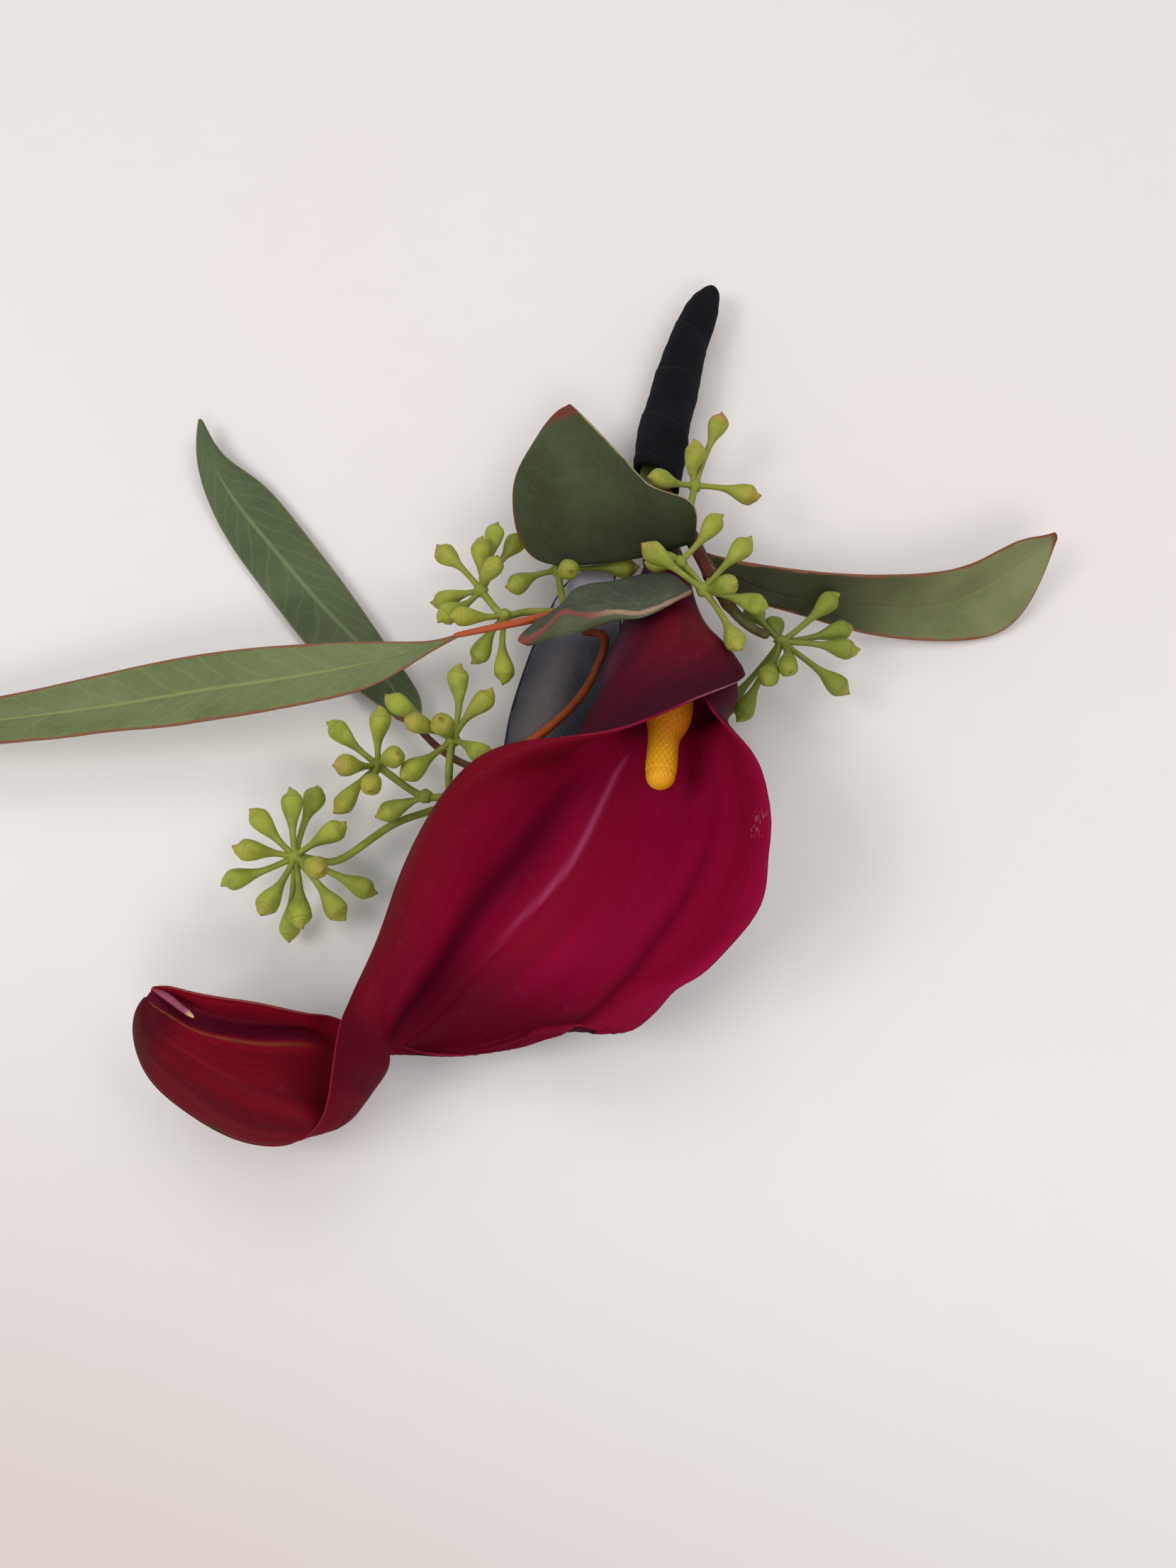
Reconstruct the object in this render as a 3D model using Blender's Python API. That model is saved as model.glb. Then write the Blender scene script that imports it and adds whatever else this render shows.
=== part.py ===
"""Wrapped boutonniere: one mini calla with a sprig of seeded eucalyptus, lying on its back.

Millimetres below, turned into metres when a mesh is made. +Z is up, the wrapped stems point to +Y and
the flower to -Y. The origin is on the table, under the middle of the whole thing.
"""

import math

import bmesh
import bpy
import numpy as np

MM = 0.001

# Thickness of the thin pieces.
LEAF_THICKNESS = 0.6
SPATHE_THICKNESS = 0.8

# The rolled tube of the spathe: how far one wrap lies outside the other.
ROLL_GAP = 1.7

# The wrap is a sock round the stems.
WRAP_WALL = 0.7
WRAP_SOLID_TIP = 5

# One bud: a thin stalk that flares into a club with a pointed cap.
STALK_RADIUS = 0.42
BUD_RADIUS = 1.4
BUD_FLARE = 2.6
BUD_CAP = 1.8
HUB_RADIUS = 0.95

# Grid and ring counts.
LEAF_ROWS, LEAF_COLUMNS = 15, 7
SPATHE_ROWS, SPATHE_COLUMNS = 45, 17
STEM_SIDES = 8
BUD_SIDES = 6

BLACK = (0.012, 0.012, 0.015)
STEM_GREEN = (0.10, 0.16, 0.05)
TWIG_BROWN = (0.17, 0.06, 0.03)
PETIOLE_RED = (0.33, 0.09, 0.04)
SPATHE_RED = (0.20, 0.004, 0.03)
SPADIX_YELLOW = (0.80, 0.38, 0.01)
BUD_GREEN = (0.20, 0.24, 0.035)

# Each leaf runs along its rib in stations of (one edge, rib, other edge). The folded leaf has one point
# more in each: edge, rib, fold, and the lobe that turns under it.
LEAVES = {
    "leaf_top": {
        "colour": (0.045, 0.060, 0.018),
        "stations": [
            ((31.7, 13.8, 11.6), (32.0, 14.3, 11.8), (32.6, 15.8, 11.6)),
            ((25.2, 11.5, 12.0), (28.0, 14.4, 14.0), (32.0, 19.6, 13.0)),
            ((18.0, 10.9, 11.0), (23.3, 17.0, 14.5), (27.2, 21.1, 14.0)),
            ((10.3, 12.7, 10.4), (18.8, 20.8, 14.0), (24.2, 24.6, 13.5)),
            ((7.6, 21.3, 10.0), (14.6, 26.1, 12.5), (21.8, 28.5, 12.5)),
            ((8.8, 28.6, 9.5), (12.6, 31.0, 11.5), (19.0, 32.9, 11.5)),
            ((12.5, 35.9, 9.5), (14.0, 35.6, 10.2), (16.7, 36.5, 10.5)),
            ((15.0, 38.1, 9.8), (15.3, 38.3, 9.8), (15.6, 38.2, 9.8)),
        ],
    },
    "leaf_right": {
        "colour": (0.10, 0.12, 0.045),
        "stations": [
            ((34.2, 13.7, 9.6), (34.4, 13.3, 9.5), (34.5, 12.9, 9.4)),
            ((39.3, 12.7, 9.0), (38.9, 10.7, 7.5), (38.3, 8.5, 7.0)),
            ((48.8, 10.8, 9.5), (47.2, 8.3, 6.5), (45.4, 7.2, 5.0)),
            ((59.4, 10.2, 9.5), (57.7, 8.3, 4.5), (56.0, 5.5, 2.0)),
            ((69.1, 11.8, 9.5), (68.4, 9.5, 3.5), (67.2, 5.0, 0.5)),
            ((76.5, 15.4, 9.0), (77.0, 14.0, 4.5), (76.3, 6.7, 0.6)),
            ((80.5, 17.0, 8.5), (81.4, 16.5, 6.0), (81.0, 12.0, 3.5)),
            ((82.8, 18.0, 8.0), (83.1, 18.0, 7.5), (83.3, 17.6, 7.0)),
        ],
    },
    "leaf_left": {
        "colour": (0.14, 0.19, 0.08),
        "stations": [
            ((1.0, 0.1, 11.6), (0.9, -0.2, 11.6), (0.8, -0.6, 11.6)),
            ((-3.3, -1.0, 11.5), (-3.8, -2.1, 11.0), (-4.2, -3.5, 11.0)),
            ((-10.9, -0.8, 11.0), (-11.8, -3.7, 10.0), (-11.1, -7.3, 10.0)),
            ((-20.3, -1.0, 10.5), (-21.8, -5.4, 9.3), (-22.0, -9.9, 9.5)),
            ((-31.5, -1.9, 10.0), (-32.3, -6.7, 8.5), (-32.1, -11.5, 9.0)),
            ((-42.6, -4.0, 9.5), (-43.6, -8.3, 7.5), (-43.2, -12.6, 8.5)),
            ((-53.8, -6.3, 8.5), (-55.0, -9.5, 6.5), (-54.5, -13.6, 7.5)),
            ((-65.3, -8.0, 7.0), (-66.7, -10.2, 5.0), (-66.1, -14.0, 6.0)),
            ((-76.6, -9.2, 4.5), (-77.6, -10.5, 3.3), (-77.0, -13.0, 4.0)),
            ((-83.4, -11.0, 2.5), (-83.6, -11.3, 2.5), (-83.4, -11.6, 2.5)),
        ],
    },
    "leaf_upper_left": {
        "colour": (0.07, 0.12, 0.06),
        "stations": [
            ((-39.9, 41.3, 2.5), (-39.6, 41.3, 2.5), (-39.2, 41.0, 2.5)),
            ((-39.5, 34.3, 2.0), (-37.1, 33.8, 3.0), (-35.2, 34.6, 2.5)),
            ((-36.5, 26.0, 0.6), (-32.9, 26.9, 1.6), (-29.5, 30.4, 1.4)),
            ((-31.3, 17.5, 0.4), (-26.6, 18.9, 1.4), (-22.6, 21.9, 1.3)),
            ((-25.2, 9.4, 0.4), (-19.9, 10.7, 1.4), (-15.5, 12.1, 1.4)),
            ((-19.5, 2.4, 0.5), (-13.5, 3.6, 1.5), (-8.8, 2.0, 1.6)),
            ((-12.0, -4.3, 1.3), (-8.1, -4.1, 2.0), (-4.9, -4.6, 2.0)),
            ((-7.9, -7.8, 1.8), (-6.4, -8.4, 2.0), (-4.9, -8.5, 1.8)),
        ],
    },
    "leaf_folded": {
        "colour": (0.12, 0.15, 0.13),
        "stations": [
            ((31.3, 5.1, 14.5), (31.4, 4.8, 14.6), (31.4, 4.5, 14.6), (31.3, 4.3, 14.4)),
            ((28.7, 6.7, 15.5), (28.6, 3.9, 16.8), (28.5, 1.6, 17.1), (28.4, 1.5, 16.7)),
            ((24.9, 6.8, 15.2), (24.8, 3.1, 16.8), (24.7, -0.4, 17.6), (24.8, -0.5, 17.1)),
            ((20.7, 5.9, 15.0), (21.1, 2.8, 16.4), (21.3, -0.2, 17.6), (21.3, -0.7, 16.1)),
            ((16.6, 5.1, 14.8), (17.6, 2.2, 16.0), (17.8, -0.5, 17.2), (17.4, -1.5, 15.0)),
            ((14.3, 2.4, 14.8), (14.7, 1.4, 15.6), (15.0, 0.2, 16.8), (15.5, -1.8, 14.6)),
            ((11.7, 0.6, 14.4), (12.3, -0.4, 15.4), (13.1, -1.2, 16.2), (13.2, -2.3, 14.4)),
            ((9.4, -1.4, 14.0), (9.9, -2.0, 14.6), (10.5, -2.7, 15.0), (10.8, -3.0, 14.1)),
            ((9.0, -2.4, 13.9), (9.3, -2.6, 14.1), (9.6, -2.8, 14.2), (9.9, -2.9, 14.0)),
        ],
    },
    "leaf_back": {
        "colour": (0.07, 0.07, 0.09),
        "stations": [
            ((17.3, 13.0, 6.0), (19.8, 13.9, 6.5), (22.3, 12.7, 6.0)),
            ((14.6, 10.5, 6.0), (18.1, 10.8, 6.2), (21.8, 10.9, 5.4)),
            ((11.5, 4.4, 5.5), (16.8, 4.6, 4.6), (22.6, 4.9, 2.8)),
            ((9.2, -2.2, 5.0), (14.7, -1.9, 3.5), (21.0, -2.1, 1.2)),
            ((7.6, -8.0, 4.5), (13.2, -8.1, 2.9), (19.6, -8.8, 0.8)),
            ((6.8, -13.0, 4.0), (11.7, -13.7, 2.3), (17.4, -15.1, 0.6)),
            ((6.6, -18.2, 3.0), (10.6, -18.8, 1.6), (14.5, -20.2, 0.5)),
            ((8.5, -22.5, 1.2), (10.1, -23.2, 0.9), (11.7, -23.6, 0.7)),
        ],
    },
}

# Stems, twigs and leaf stalks as (x, y, z, radius) along each.
STEMS = {
    "calla_stem": {
        "colour": STEM_GREEN,
        "rings": 18,
        "path": [
            (31.8, 52.6, 3.5, 1.20),
            (29.8, 44.7, 3.5, 1.45),
            (28.4, 38.2, 3.6, 1.45),
            (27.0, 31.1, 3.9, 1.45),
            (26.7, 25.4, 4.9, 1.55),
            (27.5, 19.7, 6.1, 2.20),
            (28.4, 13.8, 7.1, 2.90),
        ],
    },
    "twig_main": {
        "colour": TWIG_BROWN,
        "rings": 26,
        "path": [
            (34.1, 52.0, 3.5, 0.50),
            (32.2, 44.7, 3.5, 0.60),
            (30.8, 38.2, 3.6, 0.60),
            (29.6, 31.1, 4.0, 0.65),
            (29.3, 28.6, 4.3, 0.60),
            (29.4, 26.6, 5.1, 0.65),
            (30.1, 23.8, 6.5, 0.75),
            (31.1, 19.7, 8.2, 0.90),
            (32.3, 15.6, 9.7, 1.00),
            (33.3, 12.0, 11.1, 0.90),
            (34.4, 8.3, 11.9, 0.80),
            (36.2, 5.7, 10.8, 0.80),
            (39.2, 3.3, 8.6, 0.70),
            (42.3, 1.9, 7.5, 0.60),
        ],
    },
    "twig_back": {
        "colour": TWIG_BROWN,
        "rings": 22,
        "path": [
            (17.2, 2.3, 8.2, 0.60),
            (19.6, 1.6, 8.7, 0.60),
            (20.2, 0.0, 8.6, 0.60),
            (19.3, -2.8, 7.8, 0.58),
            (17.7, -5.9, 7.2, 0.58),
            (15.4, -8.8, 6.8, 0.58),
            (12.9, -11.2, 6.6, 0.60),
            (9.2, -14.2, 6.4, 0.60),
            (5.1, -17.3, 6.2, 0.60),
            (2.4, -19.4, 6.0, 0.60),
        ],
    },
    "petiole_left": {
        "colour": PETIOLE_RED,
        "rings": 16,
        "path": [
            (1.6, -0.2, 11.6, 0.45),
            (5.9, 0.8, 12.0, 0.50),
            (11.5, 2.0, 12.3, 0.55),
            (15.3, 3.0, 12.7, 0.55),
            (19.9, 4.3, 13.3, 0.55),
            (24.6, 4.9, 14.2, 0.55),
            (28.4, 4.9, 14.5, 0.50),
            (29.8, 5.3, 14.2, 0.45),
        ],
    },
    "petiole_upper_left": {
        "colour": TWIG_BROWN,
        "rings": 9,
        "path": [
            (-4.3, -9.8, 2.2, 0.50),
            (-2.4, -12.0, 2.6, 0.50),
            (1.1, -14.8, 3.4, 0.50),
            (4.6, -16.5, 4.4, 0.50),
        ],
    },
    "spadix": {
        "colour": SPADIX_YELLOW,
        "rings": 16,
        "path": [
            (28.5, 7.0, 8.2, 1.4),
            (28.6, 2.0, 9.0, 2.2),
            (28.7, -5.0, 9.9, 2.8),
            (28.4, -11.2, 10.5, 3.0),
            (27.8, -14.3, 10.9, 2.1),
            (27.4, -17.5, 11.3, 1.9),
            (27.1, -20.5, 11.6, 1.7),
            (27.0, -22.0, 11.8, 0.6),
        ],
    },
}

WRAP_PATH = [
    (37.1, 65.6, 3.6, 0.9),
    (36.6, 63.4, 3.6, 1.7),
    (34.9, 59.3, 3.5, 2.6),
    (32.6, 52.6, 3.5, 3.2),
    (30.7, 44.7, 3.5, 3.5),
    (29.3, 38.2, 3.6, 3.5),
    (28.1, 31.1, 3.9, 3.5),
    (27.6, 28.1, 4.1, 3.4),
]
WRAP_RINGS = 16

# The closed part of the spathe: centre, radius, then the angles of its outer margin and inner margin.
# Angles turn from +X towards +Z, and the rib is at RIB_ANGLE in each ring.
RIB_ANGLE = 250
TUBE_RINGS = [
    {"centre": (28.5, 12.9, 7.2), "radii": (2.4, 2.4), "margins": (-50, 420)},
    {"centre": (27.9, 5.4, 8.2), "radii": (4.2, 4.2), "margins": (-35, 425)},
    {"centre": (28.4, -0.6, 9.2), "radii": (6.4, 6.2), "margins": (-15, 430)},
    {"centre": (28.9, -6.1, 10.2), "radii": (8.6, 8.2), "margins": (8, 432)},
]

# The open part: left margin, left belly, rib, right belly, right margin. It ends in a half twist.
LIMB_ROWS = [
    ((31.4, -13.8, 20.6), (19.5, -10.6, 14.0), (25.3, -9.4, 1.1), (35.9, -10.2, 8.0), (32.9, -13.5, 18.0)),
    ((22.3, -17.8, 20.5), (15.3, -16.7, 11.0), (22.6, -13.0, 1.0), (32.6, -12.9, 5.0), (37.1, -20.7, 21.0)),
    ((12.9, -18.8, 19.5), (10.1, -20.9, 14.0), (19.5, -18.8, 1.1), (32.2, -21.4, 6.0), (38.7, -28.4, 24.0)),
    ((4.6, -20.3, 17.0), (4.1, -26.3, 15.5), (15.3, -27.7, 1.2), (29.6, -30.5, 7.0), (38.4, -36.6, 24.0)),
    ((-1.3, -26.8, 14.5), (0.7, -33.3, 16.0), (10.3, -35.5, 2.0), (24.7, -38.6, 6.0), (35.5, -43.5, 20.0)),
    ((-4.9, -34.3, 12.5), (-1.5, -39.9, 16.0), (5.0, -41.5, 2.8), (17.3, -45.7, 5.0), (28.3, -49.2, 14.0)),
    ((-6.9, -41.5, 12.5), (-3.8, -45.7, 15.0), (0.1, -47.4, 3.6), (10.2, -50.3, 4.0), (21.0, -52.6, 9.0)),
    ((-9.0, -48.1, 14.0), (-6.0, -50.7, 13.5), (-4.2, -51.8, 4.2), (2.5, -53.0, 3.6), (10.8, -53.3, 5.5)),
    ((-10.2, -53.5, 16.5), (-5.5, -55.5, 10.5), (-7.1, -54.2, 5.4), (-4.0, -53.5, 3.6), (-1.3, -53.7, 4.0)),
    ((-10.6, -59.3, 17.0), (-7.0, -58.7, 9.0), (-10.5, -54.8, 5.2), (-11.3, -52.0, 4.2), (-11.5, -50.2, 5.5)),
    ((-12.0, -63.4, 14.0), (-10.3, -62.0, 9.5), (-14.8, -53.9, 8.0), (-15.7, -51.3, 6.2), (-15.2, -50.0, 8.5)),
    ((-16.4, -65.2, 8.5), (-15.3, -61.7, 12.5), (-19.5, -54.3, 10.5), (-20.4, -51.2, 8.0), (-20.1, -49.5, 11.0)),
    ((-23.1, -64.3, 6.0), (-22.0, -60.0, 12.5), (-24.1, -53.9, 11.5), (-25.0, -50.9, 9.6), (-24.6, -49.1, 12.5)),
    ((-29.7, -60.9, 5.5), (-27.3, -57.0, 12.0), (-27.8, -53.0, 12.0), (-28.6, -50.1, 11.0), (-28.4, -48.5, 13.0)),
    ((-34.5, -56.7, 6.5), (-31.8, -54.1, 12.0), (-30.7, -51.4, 12.5), (-31.0, -49.3, 12.2), (-30.8, -48.0, 13.5)),
    ((-36.1, -51.8, 8.5), (-34.2, -51.0, 12.0), (-32.7, -50.0, 13.0), (-32.3, -49.0, 13.2), (-32.2, -48.0, 13.8)),
    ((-34.4, -49.4, 12.0), (-33.7, -49.2, 12.8), (-33.2, -49.0, 13.4), (-33.0, -48.5, 13.6), (-32.7, -48.2, 14.0)),
]

# Clusters of buds. A bud is (compass angle from +X, rise, length of its stalk to the bud's middle).
UMBELS = {
    "umbel_at_wrap": {
        "stems": [[(33.0, 25.3, 8.6), (32.6, 23.2, 9.2), (32.2, 21.4, 9.6)]],
        "hubs": [((33.0, 25.3, 8.6), [(70, 5, 10.5), (90, 30, 4.5), (-15, 5, 7.5), (-170, 30, 6.0)])],
    },
    "umbel_upper_left": {
        "stems": [
            [(3.6, 7.6, 9.8), (4.9, 5.7, 10.0), (6.8, 3.6, 10.2), (9.0, 4.3, 9.6), (11.9, 4.6, 9.4), (14.2, 4.7, 9.2)]
        ],
        "hubs": [
            (
                (3.6, 7.6, 9.9),
                [
                    (130, -5, 8.0),
                    (90, 20, 5.5),
                    (80, 0, 9.0),
                    (65, -15, 10.5),
                    (35, 60, 4.5),
                    (-175, -20, 5.5),
                    (-135, 10, 6.0),
                ],
            ),
            ((6.9, 3.6, 10.1), [(-165, 23, 6.0), (-130, -30, 6.0), (-90, -15, 7.5)]),
        ],
    },
    "umbel_by_folded_leaf": {
        "stems": [[(13.9, 11.5, 8.6), (14.2, 9.3, 8.2), (14.7, 6.5, 7.8)]],
        "hubs": [((13.9, 11.5, 8.6), [(-65, 57, 6.6), (-145, 22, 7.0), (0, 4, 9.2)])],
    },
    "umbel_centre": {
        "stems": [
            [(33.2, 5.5, 13.5), (33.7, 6.2, 13.5), (34.1, 6.9, 13.4)],
            [(33.2, 5.5, 13.5), (32.0, 7.6, 13.5), (30.6, 9.0, 13.9), (30.1, 9.3, 14.2)],
        ],
        "hubs": [
            (
                (33.2, 5.5, 13.5),
                [
                    (149, 20, 8.3),
                    (47, 11, 7.8),
                    (-27, 50, 4.8),
                    (-70, 19, 10.6),
                    (-9, -13, 7.2),
                ],
            ),
            ((30.1, 9.3, 14.2), [(50, 6, 7.2), (175, -12, 2.8)]),
        ],
    },
    "umbel_right": {
        "stems": [[(44.0, 1.0, 7.5), (43.6, 1.3, 7.4), (43.2, 1.6, 7.4)]],
        "hubs": [
            (
                (44.0, 1.0, 7.5),
                [
                    (40, 10, 8.5),
                    (15, -5, 8.5),
                    (-10, 5, 8.5),
                    (-40, -5, 9.5),
                    (-90, 35, 7.0),
                    (-110, 25, 8.0),
                    (115, -25, 8.0),
                    (95, -38, 5.5),
                    (-120, -15, 10.5),
                    (-135, -25, 11.0),
                ],
            )
        ],
    },
    "umbel_left": {
        "stems": [
            [(-9.1, -17.1, 7.4), (-5.7, -19.6, 6.8), (-2.7, -21.2, 6.8), (0.5, -20.9, 6.6)],
            [(0.5, -14.1, 9.0), (0.2, -17.0, 8.6), (0.1, -19.5, 7.4), (0.4, -20.9, 6.6)],
        ],
        "hubs": [
            (
                (-9.1, -17.1, 7.5),
                [
                    (140, 10, 7.0),
                    (85, 35, 6.0),
                    (-155, 45, 5.5),
                    (-130, -5, 6.5),
                    (-90, 45, 6.5),
                    (-20, 60, 5.5),
                ],
            ),
            (
                (0.5, -14.1, 9.0),
                [
                    (150, 15, 8.5),
                    (85, 20, 8.0),
                    (50, 15, 6.5),
                    (-170, 80, 5.0),
                    (175, 45, 6.0),
                    (-135, 10, 7.0),
                    (-40, 30, 6.0),
                ],
            ),
            ((-2.9, -21.1, 6.8), [(-155, 0, 5.0)]),
        ],
    },
    "umbel_lower_left": {
        "stems": [
            [
                (-19.1, -29.3, 6.5),
                (-16.2, -29.4, 5.4),
                (-13.1, -28.8, 5.0),
                (-8.2, -24.7, 4.4),
                (-4.0, -22.5, 4.0),
                (0.5, -20.7, 3.8),
                (2.5, -19.4, 3.9),
            ]
        ],
        "hubs": [
            (
                (-19.1, -29.3, 6.5),
                [
                    (135, 15, 6.5),
                    (95, 15, 7.0),
                    (80, -10, 9.0),
                    (30, 15, 6.0),
                    (-180, 25, 6.0),
                    (-160, -5, 8.0),
                    (-110, 15, 7.5),
                    (-80, 5, 8.0),
                    (-95, -25, 9.0),
                    (-50, -10, 8.5),
                    (-40, 45, 7.0),
                    (-20, -20, 9.5),
                ],
            )
        ],
    },
}


def smooth_through(points, count):
    """Evenly spaced samples of the natural cubic curve through the points, or of a row of such curves."""
    points = np.asarray(points, float)
    flat = points.reshape(len(points), -1)
    last = len(flat) - 1
    system = np.eye(last + 1)
    pull = np.zeros_like(flat)
    for i in range(1, last):
        system[i, i - 1 : i + 2] = (1, 4, 1)
        pull[i] = 6 * (flat[i - 1] - 2 * flat[i] + flat[i + 1])
    bend = np.linalg.solve(system, pull)
    place = np.linspace(0, last, count)
    start = np.minimum(place.astype(int), last - 1)
    after = (place - start)[:, None]
    before = 1 - after
    line = before * flat[start] + after * flat[start + 1]
    line += ((before**3 - before) * bend[start] + (after**3 - after) * bend[start + 1]) / 6
    return line.reshape((count,) + points.shape[1:])


def smooth_grid(stations, rows, columns):
    """A grid of points through stations that each run across the sheet."""
    along = smooth_through(stations, rows)
    return smooth_through(along.swapaxes(0, 1), columns).swapaxes(0, 1)


def material(name, colour, roughness):
    finish = bpy.data.materials.new(name)
    finish.use_nodes = True
    shader = finish.node_tree.nodes["Principled BSDF"]
    shader.inputs["Base Color"].default_value = (*colour, 1.0)
    shader.inputs["Roughness"].default_value = roughness
    shader.inputs["Metallic"].default_value = 0.0
    return finish


def new_object(name, mesh_data, colour, roughness=0.5):
    mesh = bpy.data.meshes.new(name)
    mesh_data.to_mesh(mesh)
    mesh_data.free()
    mesh.shade_smooth()
    mesh.materials.append(material(name + "_finish", colour, roughness))
    obj = bpy.data.objects.new(name, mesh)
    bpy.context.scene.collection.objects.link(obj)
    return obj


def sheet(name, grid, thickness, colour):
    """A thin closed body whose middle surface is the grid."""
    mesh_data = bmesh.new()
    points = [[mesh_data.verts.new(point * MM) for point in row] for row in grid]
    for upper, lower in zip(points, points[1:]):
        for k in range(len(upper) - 1):
            mesh_data.faces.new((upper[k], upper[k + 1], lower[k + 1], lower[k]))
    obj = new_object(name, mesh_data, colour)
    solidify = obj.modifiers.new("thickness", "SOLIDIFY")
    solidify.thickness = thickness * MM
    solidify.offset = 0.0
    return obj


def tube_rings(path, sides):
    """Rings of points round a path of (x, y, z, radius), turned as little as the path allows."""
    centre, radius = path[:, :3], path[:, 3]
    tangent = np.gradient(centre, axis=0)
    tangent /= np.linalg.norm(tangent, axis=1, keepdims=True)
    turn = np.arange(sides) * 2 * math.pi / sides
    side = np.cross(tangent[0], (0.1, 0.2, 1.0))
    rings = []
    for k in range(len(path)):
        side = side - tangent[k] * np.dot(side, tangent[k])
        side /= np.linalg.norm(side)
        up = np.cross(tangent[k], side)
        rings.append(centre[k] + radius[k] * (np.outer(np.cos(turn), side) + np.outer(np.sin(turn), up)))
    return rings


def closed_tube(rings):
    """A closed body through the rings, with a face across its first and its last ring."""
    mesh_data = bmesh.new()
    loops = [[mesh_data.verts.new(point * MM) for point in ring] for ring in rings]
    for one, two in zip(loops, loops[1:]):
        for k in range(len(one)):
            j = (k + 1) % len(one)
            mesh_data.faces.new((one[k], one[j], two[j], two[k]))
    mesh_data.faces.new(loops[0])
    mesh_data.faces.new(loops[-1])
    bmesh.ops.recalc_face_normals(mesh_data, faces=mesh_data.faces)
    return mesh_data


def make_wrap():
    """Outside from the tip to the open end, then back inside, so that the stems can run in it."""
    path = smooth_through(WRAP_PATH, WRAP_RINGS)
    inner = path.copy()
    inner[:, 3] -= WRAP_WALL
    outside = tube_rings(path, 12)
    inside = tube_rings(inner, 12)[WRAP_SOLID_TIP:]
    new_object("stem_wrap", closed_tube(outside + inside[::-1]), BLACK, 0.9)


def tube_row(ring):
    """Nine points round one ring of the rolled tube, from its outer margin over to the inner one."""
    outer, inner = ring["margins"]
    angles = np.concatenate([np.linspace(outer, RIB_ANGLE, 5), np.linspace(RIB_ANGLE, inner, 5)[1:]])
    share = (angles - outer) / (inner - outer)
    lift = ROLL_GAP * (0.5 - share)
    turn = np.radians(angles)
    wide, high = ring["radii"]
    row = np.tile(ring["centre"], (len(angles), 1)).astype(float)
    row[:, 0] += (wide + lift) * np.cos(turn)
    row[:, 2] += (high + lift) * np.sin(turn)
    return row


def make_spathe():
    rows = [tube_row(ring) for ring in TUBE_RINGS]
    rows += [smooth_through(row, 9) for row in LIMB_ROWS]
    grid = smooth_grid(rows, SPATHE_ROWS, SPATHE_COLUMNS)
    sheet("spathe", grid, SPATHE_THICKNESS, SPATHE_RED)


def bud_mesh(hub, compass, rise, length):
    """A bud on its stalk, standing on the hub."""
    flat = math.cos(math.radians(rise))
    way = np.array(
        [
            flat * math.cos(math.radians(compass)),
            flat * math.sin(math.radians(compass)),
            math.sin(math.radians(rise)),
        ]
    )
    profile = [
        (0.0, STALK_RADIUS),
        (length - BUD_FLARE, STALK_RADIUS),
        (length - 0.35 * BUD_FLARE, 0.75 * BUD_RADIUS),
        (length + 0.15 * BUD_CAP, BUD_RADIUS),
        (length + 0.60 * BUD_CAP, 0.75 * BUD_RADIUS),
        (length + BUD_CAP, 0.2 * BUD_RADIUS),
    ]
    path = np.array([(*(np.array(hub) + way * reach), radius) for reach, radius in profile])
    return closed_tube(tube_rings(path, BUD_SIDES))


def make_umbel(name, umbel):
    """Stems, hubs and buds of one cluster, joined into one body by a Boolean union."""
    pieces = []
    for stem in umbel["stems"]:
        path = smooth_through(stem, 2 * len(stem))
        path = np.column_stack([path, np.full(len(path), 0.55)])
        pieces.append(closed_tube(tube_rings(path, BUD_SIDES)))
    for hub, buds in umbel["hubs"]:
        ball = bmesh.new()
        bmesh.ops.create_icosphere(ball, subdivisions=1, radius=HUB_RADIUS * MM)
        bmesh.ops.translate(ball, verts=ball.verts, vec=np.array(hub) * MM)
        pieces.append(ball)
        pieces += [bud_mesh(hub, *bud) for bud in buds]
    others = bpy.data.collections.new(name + "_pieces")
    bpy.context.scene.collection.children.link(others)
    body = new_object(name, pieces[0], BUD_GREEN)
    for index, piece in enumerate(pieces[1:]):
        helper = new_object(f"{name}_piece_{index}", piece, BUD_GREEN)
        helper.hide_render = True
        helper.display_type = "WIRE"
        bpy.context.scene.collection.objects.unlink(helper)
        others.objects.link(helper)
    union = body.modifiers.new("union", "BOOLEAN")
    union.operation = "UNION"
    union.solver = "EXACT"
    union.operand_type = "COLLECTION"
    union.collection = others


for old in list(bpy.data.objects):
    bpy.data.objects.remove(old)

for leaf_name, leaf in LEAVES.items():
    leaf_grid = smooth_grid(leaf["stations"], LEAF_ROWS, LEAF_COLUMNS)
    sheet(leaf_name, leaf_grid, LEAF_THICKNESS, leaf["colour"])

for stem_name, stem in STEMS.items():
    stem_path = smooth_through(stem["path"], stem["rings"])
    new_object(stem_name, closed_tube(tube_rings(stem_path, STEM_SIDES)), stem["colour"])

for umbel_name, umbel in UMBELS.items():
    make_umbel(umbel_name, umbel)

make_wrap()
make_spathe()
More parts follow.
